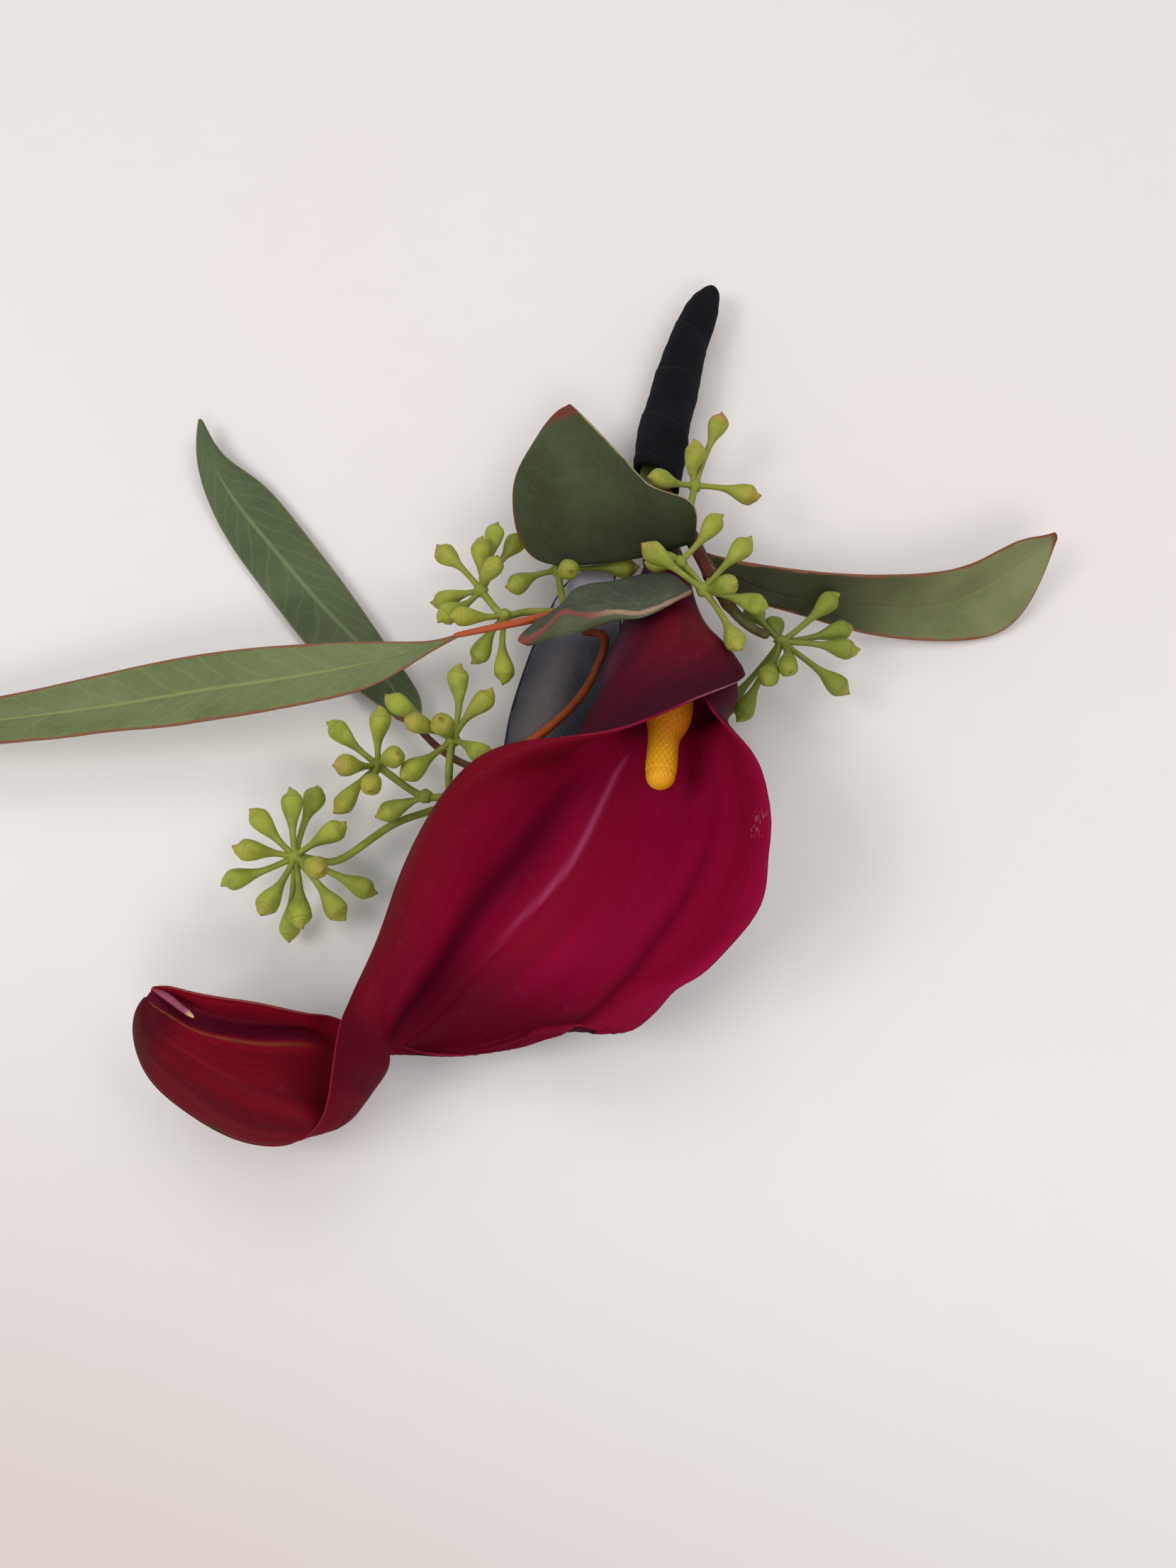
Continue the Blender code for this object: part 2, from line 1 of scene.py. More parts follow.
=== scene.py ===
import bpy
import numpy as np
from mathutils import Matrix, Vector


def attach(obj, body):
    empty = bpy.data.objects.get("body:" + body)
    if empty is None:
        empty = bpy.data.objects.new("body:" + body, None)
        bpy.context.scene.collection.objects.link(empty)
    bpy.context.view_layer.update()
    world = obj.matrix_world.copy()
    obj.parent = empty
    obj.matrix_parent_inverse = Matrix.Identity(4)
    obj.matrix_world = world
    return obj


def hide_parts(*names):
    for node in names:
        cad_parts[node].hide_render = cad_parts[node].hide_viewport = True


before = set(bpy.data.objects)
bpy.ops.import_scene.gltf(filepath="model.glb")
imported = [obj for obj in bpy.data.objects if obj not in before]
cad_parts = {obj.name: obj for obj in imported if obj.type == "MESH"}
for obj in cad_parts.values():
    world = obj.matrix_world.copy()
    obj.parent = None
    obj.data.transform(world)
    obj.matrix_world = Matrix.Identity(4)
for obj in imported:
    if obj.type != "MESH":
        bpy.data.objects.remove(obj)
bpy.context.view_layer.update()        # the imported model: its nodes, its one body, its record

millimetre = 0.001
draws = np.random.default_rng(7)

# How finely each kind of piece is cut: points along it, then points across it or round it.
fineness = {
    "leaf": (181, 57), "spathe": (301, 121), "awn": (49, 16), "stalk": (161, 20), "spadix": (281, 96),
    "wrap": (321, 88), "bud": (46, 18), "hub": (16, 18), "stem": (20, 14),
}
print("frame loaded with", len(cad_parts), "nodes")


# Curves and grids, all in millimetres.

# The natural cubic curve through the points, read at fractional point numbers.
def curveAt(points, places):
    points = np.asarray(points, float)
    flat = points.reshape(len(points), -1)
    last = len(flat) - 1
    system = 4 * np.eye(last + 1) + np.eye(last + 1, k=1) + np.eye(last + 1, k=-1)
    system[0, :2] = (1, 0)
    system[-1, -2:] = (0, 1)
    pull = np.zeros_like(flat)
    pull[1:-1] = 6 * (flat[:-2] - 2 * flat[1:-1] + flat[2:])
    bend = np.linalg.solve(system, pull)
    start = np.clip(np.floor(places).astype(int), 0, last - 1)
    after = (np.asarray(places) - start)[:, None]
    before = 1 - after
    line = before * flat[start] + after * flat[start + 1]
    line += ((before**3 - before) * bend[start] + (after**3 - after) * bend[start + 1]) / 6
    return line.reshape((len(start),) + points.shape[1:])


# The curve through the points at count even steps.
def curveThrough(points, count):
    return curveAt(points, np.linspace(0, len(points) - 1, count))


# A surface through stations: a curve along every column, then a curve across every row.
def surfaceAt(stations, along, across):
    rows = curveAt(stations, along * (len(stations) - 1)).swapaxes(0, 1)
    return curveAt(rows, across * (len(rows) - 1)).swapaxes(0, 1)


def unit(vectors):
    return vectors / np.maximum(np.linalg.norm(vectors, axis=-1, keepdims=True), 1e-12)


# Square to both the step along the columns and the step across the rows.
def gridNormals(grid):
    return unit(np.cross(np.gradient(grid, axis=0), np.gradient(grid, axis=1)))


# Length run along a path from its first point.
def runAlong(path):
    return np.concatenate([[0], np.cumsum(np.linalg.norm(np.diff(path, axis=0), axis=1))])


# Length run along each row from its first point.
def runAcross(grid):
    step = np.linalg.norm(np.diff(grid, axis=1), axis=2)
    return np.concatenate([np.zeros((len(grid), 1)), np.cumsum(step, axis=1)], axis=1)


# One at the centre, falling off both ways as a bell.
def bell(value, centre, width):
    return np.exp(-(((value - centre) / width) ** 2))


# Nought below low, one above high, an S between.
def ease(value, low, high):
    share = np.clip((value - low) / (high - low), 0, 1)
    return share * share * (3 - 2 * share)


# One from b to c, easing up to it from a and down from it to d.
def window(value, a, b, c, d):
    return ease(value, a, b) * ease(value, d, c)


# Shares from 0 to 1, closer together at both ends by the amount crowd.
def crowdedShares(count, crowd):
    even = np.linspace(0, 1, count)
    return (1 - crowd) * even + crowd * (0.5 - 0.5 * np.cos(np.pi * even))


# The angles of the sides round a full turn.
def roundTurn(sides):
    return np.arange(sides) * 2 * np.pi / sides


# Smooth ripples: a sum of sines in random directions over the given coordinates.
def ripples(coordinates, size, count=6):
    ways = draws.normal(size=(count, coordinates.shape[-1])) / size
    shifts = draws.uniform(0, 2 * np.pi, count)
    return np.sin(coordinates @ ways.T + shifts).mean(axis=-1)


# Ripples over a round skin, from its places along and its angles, at the given breadth.
def ripplesRound(along, sides, breadth, size):
    s, t = np.meshgrid(along, roundTurn(sides), indexing="ij")
    return ripples(np.stack([s, breadth * np.cos(t), breadth * np.sin(t)], axis=-1), size)


# Parts and pieces.

# Quads between neighbouring rings, each ring closed on itself.
def ringQuads(rings, sides):
    here = np.arange(rings * sides).reshape(rings, sides)
    beside = np.roll(here, -1, axis=1)
    return np.stack([here[:-1], beside[:-1], beside[1:], here[1:]], axis=-1).reshape(-1, 4)


# Turns every face round if the faces enclose a negative volume.
def faceOutward(points, quads, caps):
    corner = (points - points.mean(axis=0))[quads]
    volume = np.einsum("ij,ij->", corner[:, 0], np.cross(corner[:, 1], corner[:, 2]))
    volume += np.einsum("ij,ij->", corner[:, 0], np.cross(corner[:, 2], corner[:, 3]))
    if volume < 0:
        return quads[:, ::-1], [cap[::-1] for cap in caps]
    return quads, caps


# Closes rings of points, given as rings by sides, with quads between them and a flat cap at each end.
def ringPart(rings, marks):
    count, sides = rings.shape[:2]
    points = rings.reshape(-1, 3)
    caps = [np.arange(sides)[::-1], np.arange(sides) + (count - 1) * sides]
    quads, caps = faceOutward(points, ringQuads(count, sides), caps)
    marks = {key: np.broadcast_to(value, (count, sides)).ravel() for key, value in marks.items()}
    return {"points": points, "quads": quads, "caps": caps, "marks": marks}


# A tube: rings square to the path, radius plus relief away from it, slid along it by slide.
def tubePart(path, radius, sides, relief=0.0, reference=(0, 0, 1), slide=0.0, **marks):
    tangent = unit(np.gradient(path, axis=0))
    side = unit(np.cross(tangent, reference))
    up = np.cross(side, tangent)
    turn = roundTurn(sides)
    spoke = np.cos(turn)[:, None] * side[:, None] + np.sin(turn)[:, None] * up[:, None]
    reach = np.broadcast_to(radius[:, None] + relief, (len(path), sides))
    slid = np.broadcast_to(slide, (len(path), sides))[..., None] * tangent[:, None]
    return ringPart(path[:, None] + reach[..., None] * spoke + slid, marks)


# A thin closed shell: each row runs over the top from margin to margin and back underneath.
def shellPart(grid, thick, shares, **marks):
    rows, columns = grid.shape[:2]
    across, along = shares
    lift = gridNormals(grid) * (thick / 2)[..., None]
    rings = np.concatenate([grid + lift, (grid - lift)[:, ::-1]], axis=1)
    points = rings.reshape(-1, 3)
    k = np.arange(columns - 1)
    under = 2 * columns - 1 - k
    first = np.stack([k + 1, k, under, under - 1], axis=1)
    last = np.stack([k, k + 1, under - 1, under], axis=1) + (rows - 1) * 2 * columns
    quads = np.concatenate([ringQuads(rows, 2 * columns), first, last])
    faceOf = np.tile(np.repeat([0, 2, 1, 2], [columns - 1, 1, columns - 1, 1]), rows - 1)
    faceOf = np.concatenate([faceOf, np.full(2 * len(k), 2)])
    quads, _ = faceOutward(points, quads, [])
    marks = {key: bothSides(np.broadcast_to(value, (rows, columns))) for key, value in marks.items()}
    uv = np.stack([bothSides(np.broadcast_to(across, (rows, columns))),
                   bothSides(np.broadcast_to(along[:, None], (rows, columns)))], axis=1)
    return {"points": points, "quads": quads, "caps": [], "marks": marks, "uv": uv, "faceOf": faceOf}


def bothSides(value):
    return np.concatenate([value, value[:, ::-1]], axis=1).ravel()


# Joins the parts into one mesh at its place, rides it on the body and lets it stand for its node.
def addPiece(name, parts, finishes, node):
    starts = np.cumsum([0] + [len(part["points"]) for part in parts])
    faces = np.concatenate([part["quads"] + start for part, start in zip(parts, starts)]).tolist()
    quadCount = len(faces)
    faces += [(cap + start).tolist() for part, start in zip(parts, starts) for cap in part["caps"]]
    mesh = bpy.data.meshes.new(name)
    mesh.from_pydata(np.concatenate([part["points"] for part in parts]) * millimetre, [], faces)
    for key in parts[0]["marks"]:
        values = np.concatenate([part["marks"][key] for part in parts])
        mesh.attributes.new(key, "FLOAT", "POINT").data.foreach_set("value", values.astype(np.float32))
    if "uv" in parts[0]:
        corner = np.empty(len(mesh.loops), np.int32)
        mesh.loops.foreach_get("vertex_index", corner)
        uv = np.concatenate([part["uv"] for part in parts])
        mesh.uv_layers.new(name="UVMap").data.foreach_set("uv", uv[corner].astype(np.float32).ravel())
    if "faceOf" in parts[0]:
        faceOf = np.concatenate([part["faceOf"] for part in parts] + [np.zeros(len(faces) - quadCount)])
        mesh.polygons.foreach_set("material_index", faceOf.astype(np.int32))
    mesh.shade_smooth()
    for finish in finishes:
        mesh.materials.append(finish)
    mesh.update()
    piece = bpy.data.objects.new(name, mesh)
    bpy.context.scene.collection.objects.link(piece)
    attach(piece, "root")
    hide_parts(node)
    print("made", name, len(mesh.polygons), "faces")


# Material building.

# A screen colour (0 to 1) as linear red, green, blue and alpha.
def paint(red, green, blue):
    screen = np.array([red, green, blue])
    linear = np.where(screen > 0.04045, ((screen + 0.055) / 1.055) ** 2.4, screen / 12.92)
    return (*linear.tolist(), 1.0)


# The node tree of the finish being made, where addNode puts its nodes.
making = {}


def newFinish(name, **sockets):
    finish = bpy.data.materials.new(name)
    finish.use_nodes = True
    making["tree"] = finish.node_tree
    making["shader"] = finish.node_tree.nodes["Principled BSDF"]
    for socket, value in sockets.items():
        making["shader"].inputs[socket.replace("_", " ")].default_value = value
    return finish


def addNode(kind, inputs, **settings):
    made = making["tree"].nodes.new(kind)
    for key, value in settings.items():
        setattr(made, key, value)
    for socket, value in inputs.items():
        if isinstance(value, bpy.types.NodeSocket):
            making["tree"].links.new(value, made.inputs[socket])
        else:
            made.inputs[socket].default_value = value
    return made


def mathOf(operation, one, two=0.0, three=0.0):
    return addNode("ShaderNodeMath", {0: one, 1: two, 2: three}, operation=operation).outputs[0]


# The sum of the values, each times its own weight.
def sumOf(*weighed):
    total = 0.0
    for value, weight in weighed:
        total = mathOf("MULTIPLY_ADD", value, weight, total)
    return total


def awayFrom(centre, value):
    return mathOf("ABSOLUTE", mathOf("SUBTRACT", value, centre))


# One where the value is at the centre, falling to nought at the given reach either side.
def nearTo(value, centre, reach):
    return rangeOf(awayFrom(centre, value), 0.0, reach, 1.0, 0.0)


def mixOf(share, one, two):
    return addNode("ShaderNodeMix", {0: share, 6: one, 7: two}, data_type="RGBA").outputs[2]


# Coats of colour over the first one, each a (share, strength, colour); a share may name a mark.
def coats(first, *layers):
    body = first if isinstance(first, bpy.types.NodeSocket) else paint(*first)
    for share, strength, colour in layers:
        share = markOf(share) if isinstance(share, str) else share
        if strength != 1:
            share = mathOf("MULTIPLY", share, strength)
        body = mixOf(share, body, paint(*colour))
    return body


def rangeOf(value, low, high, fromValue=0.0, toValue=1.0):
    inputs = {0: value, 1: low, 2: high, 3: fromValue, 4: toValue}
    return addNode("ShaderNodeMapRange", inputs, interpolation_type="SMOOTHSTEP").outputs[0]


def markOf(name):
    return addNode("ShaderNodeAttribute", {}, attribute_name=name).outputs["Fac"]


def placeOf():
    return addNode("ShaderNodeTexCoord", {}).outputs["Object"]


def sheetPlaceOf():
    return addNode("ShaderNodeUVMap", {}, uv_map="UVMap").outputs[0]


def axesOf(place):
    return addNode("ShaderNodeSeparateXYZ", {0: place}).outputs


# Noise whose grains are about size millimetres wide; stretch squeezes each axis of the place.
def noiseOf(place, size, detail=3.0, stretch=(1, 1, 1), distortion=0.0, unitSize=0.001):
    scaled = addNode("ShaderNodeMapping", {0: place, 3: stretch}).outputs[0]
    inputs = {"Vector": scaled, "Scale": 1 / (size * unitSize), "Detail": detail, "Distortion": distortion}
    return addNode("ShaderNodeTexNoise", inputs).outputs["Fac"]


def bumpOf(height, depth, strength):
    inputs = {"Height": height, "Distance": depth * millimetre, "Strength": strength}
    return addNode("ShaderNodeBump", inputs).outputs[0]


def connect(**sockets):
    for socket, value in sockets.items():
        making["tree"].links.new(value, making["shader"].inputs[socket.replace("_", " ")])


# Leaves.

# Blade colour in two tones, slanting side veins, pale rib, coloured margin and tip, fine grain.
def leafFinish(name, look):
    finish = newFinish(name, Roughness=0.55, Specular_IOR_Level=look["specular"])
    place = placeOf()
    across, along = axesOf(sheetPlaceOf())[:2]
    fromRib = awayFrom(0.5, across)
    phase = sumOf((along, look["veins"]), (fromRib, -look["slant"]), (noiseOf(place, 7.0, 2.0), 1.4))
    vein = rangeOf(mathOf("PINGPONG", phase, 0.5), 0.02, 0.13, 1.0, 0.0)
    rib = rangeOf(fromRib, look["ribShare"] * 0.35, look["ribShare"], 1.0, 0.0)
    mottle = noiseOf(place, 9.0, 4.0)
    grain = noiseOf(place, 0.55, 3.0)
    blade = coats(look["deep"], (rangeOf(mottle, 0.34, 0.66), 1, look["light"]),
                  (rangeOf(grain, 0.3, 0.75), 0.28, look["bloom"]), (vein, look["veinShow"], look["rib"]),
                  (rib, look["ribShow"], look["rib"]), ("shade", 1, look["shadow"]))
    if "stalkEnd" in look:
        blade = coats(blade, (rangeOf(along, 0.12, 0.34, 1.0, 0.0), 1, look["stalkEnd"]))
    if "lobe" in look:
        blade = coats(blade, (rangeOf(across, 0.69, 0.80), 1, look["lobe"]))
    uneven = rangeOf(noiseOf(place, 2.5, 2.0), 0.3, 0.7, 0.55, 1.25)
    margin = mathOf("DIVIDE", markOf("margin"), mathOf("MULTIPLY", uneven, look["marginWidth"]))
    farColour = look.get("farMargin", look["margin"])
    edge = coats(look["margin"], (rangeOf(across, 0.5, 0.6), 1, farColour))
    if "marginEnd" in look:
        edge = coats(edge, (rangeOf(along, 0.34, 0.52), 1, look["marginEnd"]))
    blade = mixOf(rangeOf(margin, 0.5, 1.1, 1.0, 0.0), blade, edge)
    tip = rangeOf(sumOf((markOf("tip"), 1.0), (mottle, 1.2)), look["tipLength"] * 0.45,
                  look["tipLength"] * 1.1 + 0.6, 1.0, 0.0)
    blade = coats(blade, (tip, 1, look["tip"]))
    rough = rangeOf(noiseOf(place, 3.0, 3.0), 0.3, 0.7, look["rough"] - 0.07, look["rough"] + 0.08)
    connect(Base_Color=blade, Roughness=rough,
            Normal=bumpOf(sumOf((grain, 0.5), (vein, 0.35)), 0.09, 0.6))
    return finish


leafThickness = 0.42
leafUsual = {"slant": 4.0, "veinShow": 0.16, "ribShare": 0.03, "marginWidth": 0.42, "tipLength": 1.6,
             "specular": 0.16}
leafLooks = {
    "leaf_top": {
        "slot": "leaf_olive", "waves": 0.25, "ribDepth": 0.10, "flutes": 0.012,
        "deep": (0.205, 0.225, 0.125), "light": (0.265, 0.30, 0.18), "bloom": (0.30, 0.33, 0.21),
        "rib": (0.34, 0.37, 0.24), "shadow": (0.115, 0.125, 0.055), "margin": (0.38, 0.23, 0.16),
        "farMargin": (0.60, 0.55, 0.38), "tip": (0.45, 0.19, 0.155), "veins": 9.0, "slant": 5.0,
        "veinShow": 0.07, "ribShow": 0.12, "ribShare": 0.02, "marginWidth": 0.40, "tipLength": 5.0,
        "rough": 0.64,
        "under": {"deep": (0.36, 0.40, 0.29), "light": (0.44, 0.48, 0.36)},
    },
    "leaf_right": {
        "slot": "leaf_grey_green", "waves": 0.30, "ribDepth": 0.12, "flutes": 0.012,
        "deep": (0.425, 0.44, 0.295), "light": (0.49, 0.505, 0.34), "bloom": (0.50, 0.51, 0.38),
        "rib": (0.52, 0.54, 0.33), "shadow": (0.17, 0.172, 0.095), "margin": (0.50, 0.31, 0.22),
        "tip": (0.46, 0.20, 0.17), "veins": 13.0, "ribShow": 0.30, "rough": 0.62,
        "under": {"deep": (0.42, 0.45, 0.35), "light": (0.50, 0.52, 0.42)},
    },
    "leaf_left": {
        "slot": "leaf_sage", "waves": 0.30, "ribDepth": 0.14, "flutes": 0.012,
        "deep": (0.38, 0.42, 0.265), "light": (0.43, 0.47, 0.30), "bloom": (0.47, 0.51, 0.37),
        "rib": (0.54, 0.58, 0.33), "shadow": (0.27, 0.31, 0.19), "margin": (0.50, 0.33, 0.24),
        "tip": (0.50, 0.33, 0.24), "veins": 24.0, "veinShow": 0.17, "ribShow": 0.62, "ribShare": 0.045,
        "tipLength": 0.8, "rough": 0.58,
        "under": {"deep": (0.45, 0.50, 0.38), "light": (0.52, 0.56, 0.45)},
    },
    "leaf_upper_left": {
        "slot": "leaf_deep_green", "waves": 0.25, "ribDepth": 0.14, "flutes": 0.012,
        "deep": (0.275, 0.325, 0.205), "light": (0.325, 0.37, 0.245), "bloom": (0.36, 0.41, 0.31),
        "rib": (0.47, 0.53, 0.36), "shadow": (0.22, 0.28, 0.19), "margin": (0.42, 0.38, 0.26),
        "tip": (0.42, 0.27, 0.19), "veins": 18.0, "ribShow": 0.60, "ribShare": 0.05, "marginWidth": 0.34,
        "rough": 0.58,
        "under": {"deep": (0.40, 0.47, 0.37), "light": (0.46, 0.52, 0.42)},
    },
    "leaf_folded": {
        "slot": "leaf_blue_green", "waves": 0.10, "ribDepth": 0.0, "flutes": 0.006, "rimAt": 2 / 3,
        "deep": (0.225, 0.25, 0.19), "light": (0.32, 0.345, 0.265), "bloom": (0.37, 0.39, 0.32),
        "rib": (0.42, 0.44, 0.34), "shadow": (0.175, 0.19, 0.15), "margin": (0.60, 0.49, 0.40),
        "marginEnd": (0.47, 0.27, 0.24), "lobe": (0.37, 0.385, 0.28), "tip": (0.50, 0.27, 0.23),
        "veins": 9.0, "veinShow": 0.14, "ribShow": 0.15, "marginWidth": 0.36, "rough": 0.52,
        "under": {"deep": (0.36, 0.38, 0.29), "light": (0.44, 0.45, 0.36)},
    },
    "leaf_back": {
        "slot": "leaf_slate", "waves": 0.20, "ribDepth": 0.03, "flutes": 0.0,
        "deep": (0.37, 0.345, 0.355), "light": (0.425, 0.385, 0.375), "bloom": (0.47, 0.45, 0.46),
        "rib": (0.38, 0.38, 0.40), "shadow": (0.245, 0.255, 0.29), "margin": (0.10, 0.11, 0.14),
        "stalkEnd": (0.76, 0.74, 0.79), "tip": (0.18, 0.19, 0.21), "veins": 11.0, "veinShow": 0.0,
        "ribShow": 0.0, "marginWidth": 0.40, "tipLength": 0.6, "rough": 0.42, "specular": 0.3,
        "under": {"deep": (0.30, 0.32, 0.31), "light": (0.38, 0.39, 0.38)},
    },
}

# Stations of (one edge, rib, other edge) from the stalk to the tip, in millimetres. The folded leaf
# has (edge, rib, fold, edge of the lobe turned under).
leafStations = {
    "leaf_top": [
        [31.7, 13.8, 11.6, 32.0, 14.3, 11.8, 32.6, 15.8, 11.6],
        [25.2, 11.5, 12.0, 28.0, 14.4, 14.0, 32.0, 19.6, 13.0],
        [18.0, 10.9, 11.0, 23.3, 17.0, 14.5, 27.2, 21.1, 14.0],
        [10.3, 12.7, 10.4, 18.8, 20.8, 14.0, 24.2, 24.6, 13.5],
        [7.6, 21.3, 10.0, 14.6, 26.1, 12.5, 21.8, 28.5, 12.5],
        [8.8, 28.6, 9.5, 12.6, 31.0, 11.5, 19.0, 32.9, 11.5],
        [12.5, 35.9, 9.5, 14.0, 35.6, 10.2, 16.7, 36.5, 10.5],
        [15.0, 38.1, 9.8, 15.3, 38.3, 9.8, 15.6, 38.2, 9.8],
    ],
    "leaf_right": [
        [34.2, 13.7, 9.6, 34.4, 13.3, 9.5, 34.5, 12.9, 9.4],
        [39.3, 12.7, 9.0, 38.9, 10.7, 7.5, 38.3, 8.5, 7.0],
        [48.8, 10.8, 9.5, 47.2, 8.3, 6.5, 45.4, 7.2, 5.0],
        [59.4, 10.2, 9.5, 57.7, 8.3, 4.5, 56.0, 5.5, 2.0],
        [69.1, 11.8, 9.5, 68.4, 9.5, 3.5, 67.2, 5.0, 0.5],
        [76.5, 15.4, 9.0, 77.0, 14.0, 4.5, 76.3, 6.7, 0.6],
        [80.5, 17.0, 8.5, 81.4, 16.5, 6.0, 81.0, 12.0, 3.5],
        [82.8, 18.0, 8.0, 83.1, 18.0, 7.5, 83.3, 17.6, 7.0],
    ],
    "leaf_left": [
        [1.0, 0.1, 11.6, 0.9, -0.2, 11.6, 0.8, -0.6, 11.6],
        [-3.3, -1.0, 11.5, -3.8, -2.1, 11.0, -4.2, -3.5, 11.0],
        [-10.9, -0.8, 11.0, -11.8, -3.7, 10.0, -11.1, -7.3, 10.0],
        [-20.3, -1.0, 10.5, -21.8, -5.4, 9.3, -22.0, -9.9, 9.5],
        [-31.5, -1.9, 10.0, -32.3, -6.7, 8.5, -32.1, -11.5, 9.0],
        [-42.6, -4.0, 9.5, -43.6, -8.3, 7.5, -43.2, -12.6, 8.5],
        [-53.8, -6.3, 8.5, -55.0, -9.5, 6.5, -54.5, -13.6, 7.5],
        [-65.3, -8.0, 7.0, -66.7, -10.2, 5.0, -66.1, -14.0, 6.0],
        [-76.6, -9.2, 4.5, -77.6, -10.5, 3.3, -77.0, -13.0, 4.0],
        [-83.4, -11.0, 2.5, -83.6, -11.3, 2.5, -83.4, -11.6, 2.5],
    ],
    "leaf_upper_left": [
        [-39.9, 41.3, 2.5, -39.6, 41.3, 2.5, -39.2, 41.0, 2.5],
        [-39.5, 34.3, 2.0, -37.1, 33.8, 3.0, -35.2, 34.6, 2.5],
        [-36.5, 26.0, 0.6, -32.9, 26.9, 1.6, -29.5, 30.4, 1.4],
        [-31.3, 17.5, 0.4, -26.6, 18.9, 1.4, -22.6, 21.9, 1.3],
        [-25.2, 9.4, 0.4, -19.9, 10.7, 1.4, -15.5, 12.1, 1.4],
        [-19.5, 2.4, 0.5, -13.5, 3.6, 1.5, -8.8, 2.0, 1.6],
        [-12.0, -4.3, 1.3, -8.1, -4.1, 2.0, -4.9, -4.6, 2.0],
        [-7.9, -7.8, 1.8, -6.4, -8.4, 2.0, -4.9, -8.5, 1.8],
    ],
    "leaf_folded": [
        [31.3, 5.1, 14.5, 31.4, 4.8, 14.6, 31.4, 4.5, 14.6, 31.3, 4.3, 14.4],
        [28.7, 6.7, 15.5, 28.6, 3.9, 16.8, 28.5, 1.6, 17.1, 28.4, 1.5, 16.7],
        [24.9, 6.8, 15.2, 24.8, 3.1, 16.8, 24.7, -0.4, 17.6, 24.8, -0.5, 17.1],
        [20.7, 5.9, 15.0, 21.1, 2.8, 16.4, 21.3, -0.2, 17.6, 21.3, -0.7, 16.1],
        [16.6, 5.1, 14.8, 17.6, 2.2, 16.0, 17.8, -0.5, 17.2, 17.4, -1.5, 15.0],
        [14.3, 2.4, 14.8, 14.7, 1.4, 15.6, 15.0, 0.2, 16.8, 15.5, -1.8, 14.6],
        [11.7, 0.6, 14.4, 12.3, -0.4, 15.4, 13.1, -1.2, 16.2, 13.2, -2.3, 14.4],
        [9.4, -1.4, 14.0, 9.9, -2.0, 14.6, 10.5, -2.7, 15.0, 10.8, -3.0, 14.1],
        [9.0, -2.4, 13.9, 9.3, -2.6, 14.1, 9.6, -2.8, 14.2, 9.9, -2.9, 14.0],
    ],
    "leaf_back": [
        [17.3, 13.0, 6.0, 19.8, 13.9, 6.5, 22.3, 12.7, 6.0],
        [14.6, 10.5, 6.0, 18.1, 10.8, 6.2, 21.8, 10.9, 5.4],
        [11.5, 4.4, 5.5, 16.8, 4.6, 4.6, 22.6, 4.9, 2.8],
        [9.2, -2.2, 5.0, 14.7, -1.9, 3.5, 21.0, -2.1, 1.2],
        [7.6, -8.0, 4.5, 13.2, -8.1, 2.9, 19.6, -8.8, 0.8],
        [6.8, -13.0, 4.0, 11.7, -13.7, 2.3, 17.4, -15.1, 0.6],
        [6.6, -18.2, 3.0, 10.6, -18.8, 1.6, 14.5, -20.2, 0.5],
        [8.5, -22.5, 1.2, 10.1, -23.2, 0.9, 11.7, -23.6, 0.7],
    ],
}


# How far a leaf goes over to its shadow colour, from 0 to 1, by its place across and along.
def leafShade(name, across, along):
    if name == "leaf_top":
        return 0.85 * ease(0.78 - along - 0.25 * across, 0.05, 0.60)
    if name == "leaf_right":
        return 0.95 * ease(0.68 - along, 0.0, 0.42)
    if name == "leaf_folded":
        return 0.75 * ease(0.62 - along - 0.5 * across, 0.0, 0.5)
    if name == "leaf_back":
        return np.clip(1 - 1.2 * bell(across, 0.36, 0.22) * bell(along, 0.60, 0.24), 0, 0.9)
    return 0.0 * along * across


# Where a leaf is coloured along its margin: all round, or on the tip side of the broad top leaf.
def marginReach(name, fromMargin, across, along):
    if name == "leaf_top":
        return fromMargin + 3.0 * ease(0.45 - along, 0.0, 0.25) * (across < 0.5)
    return fromMargin


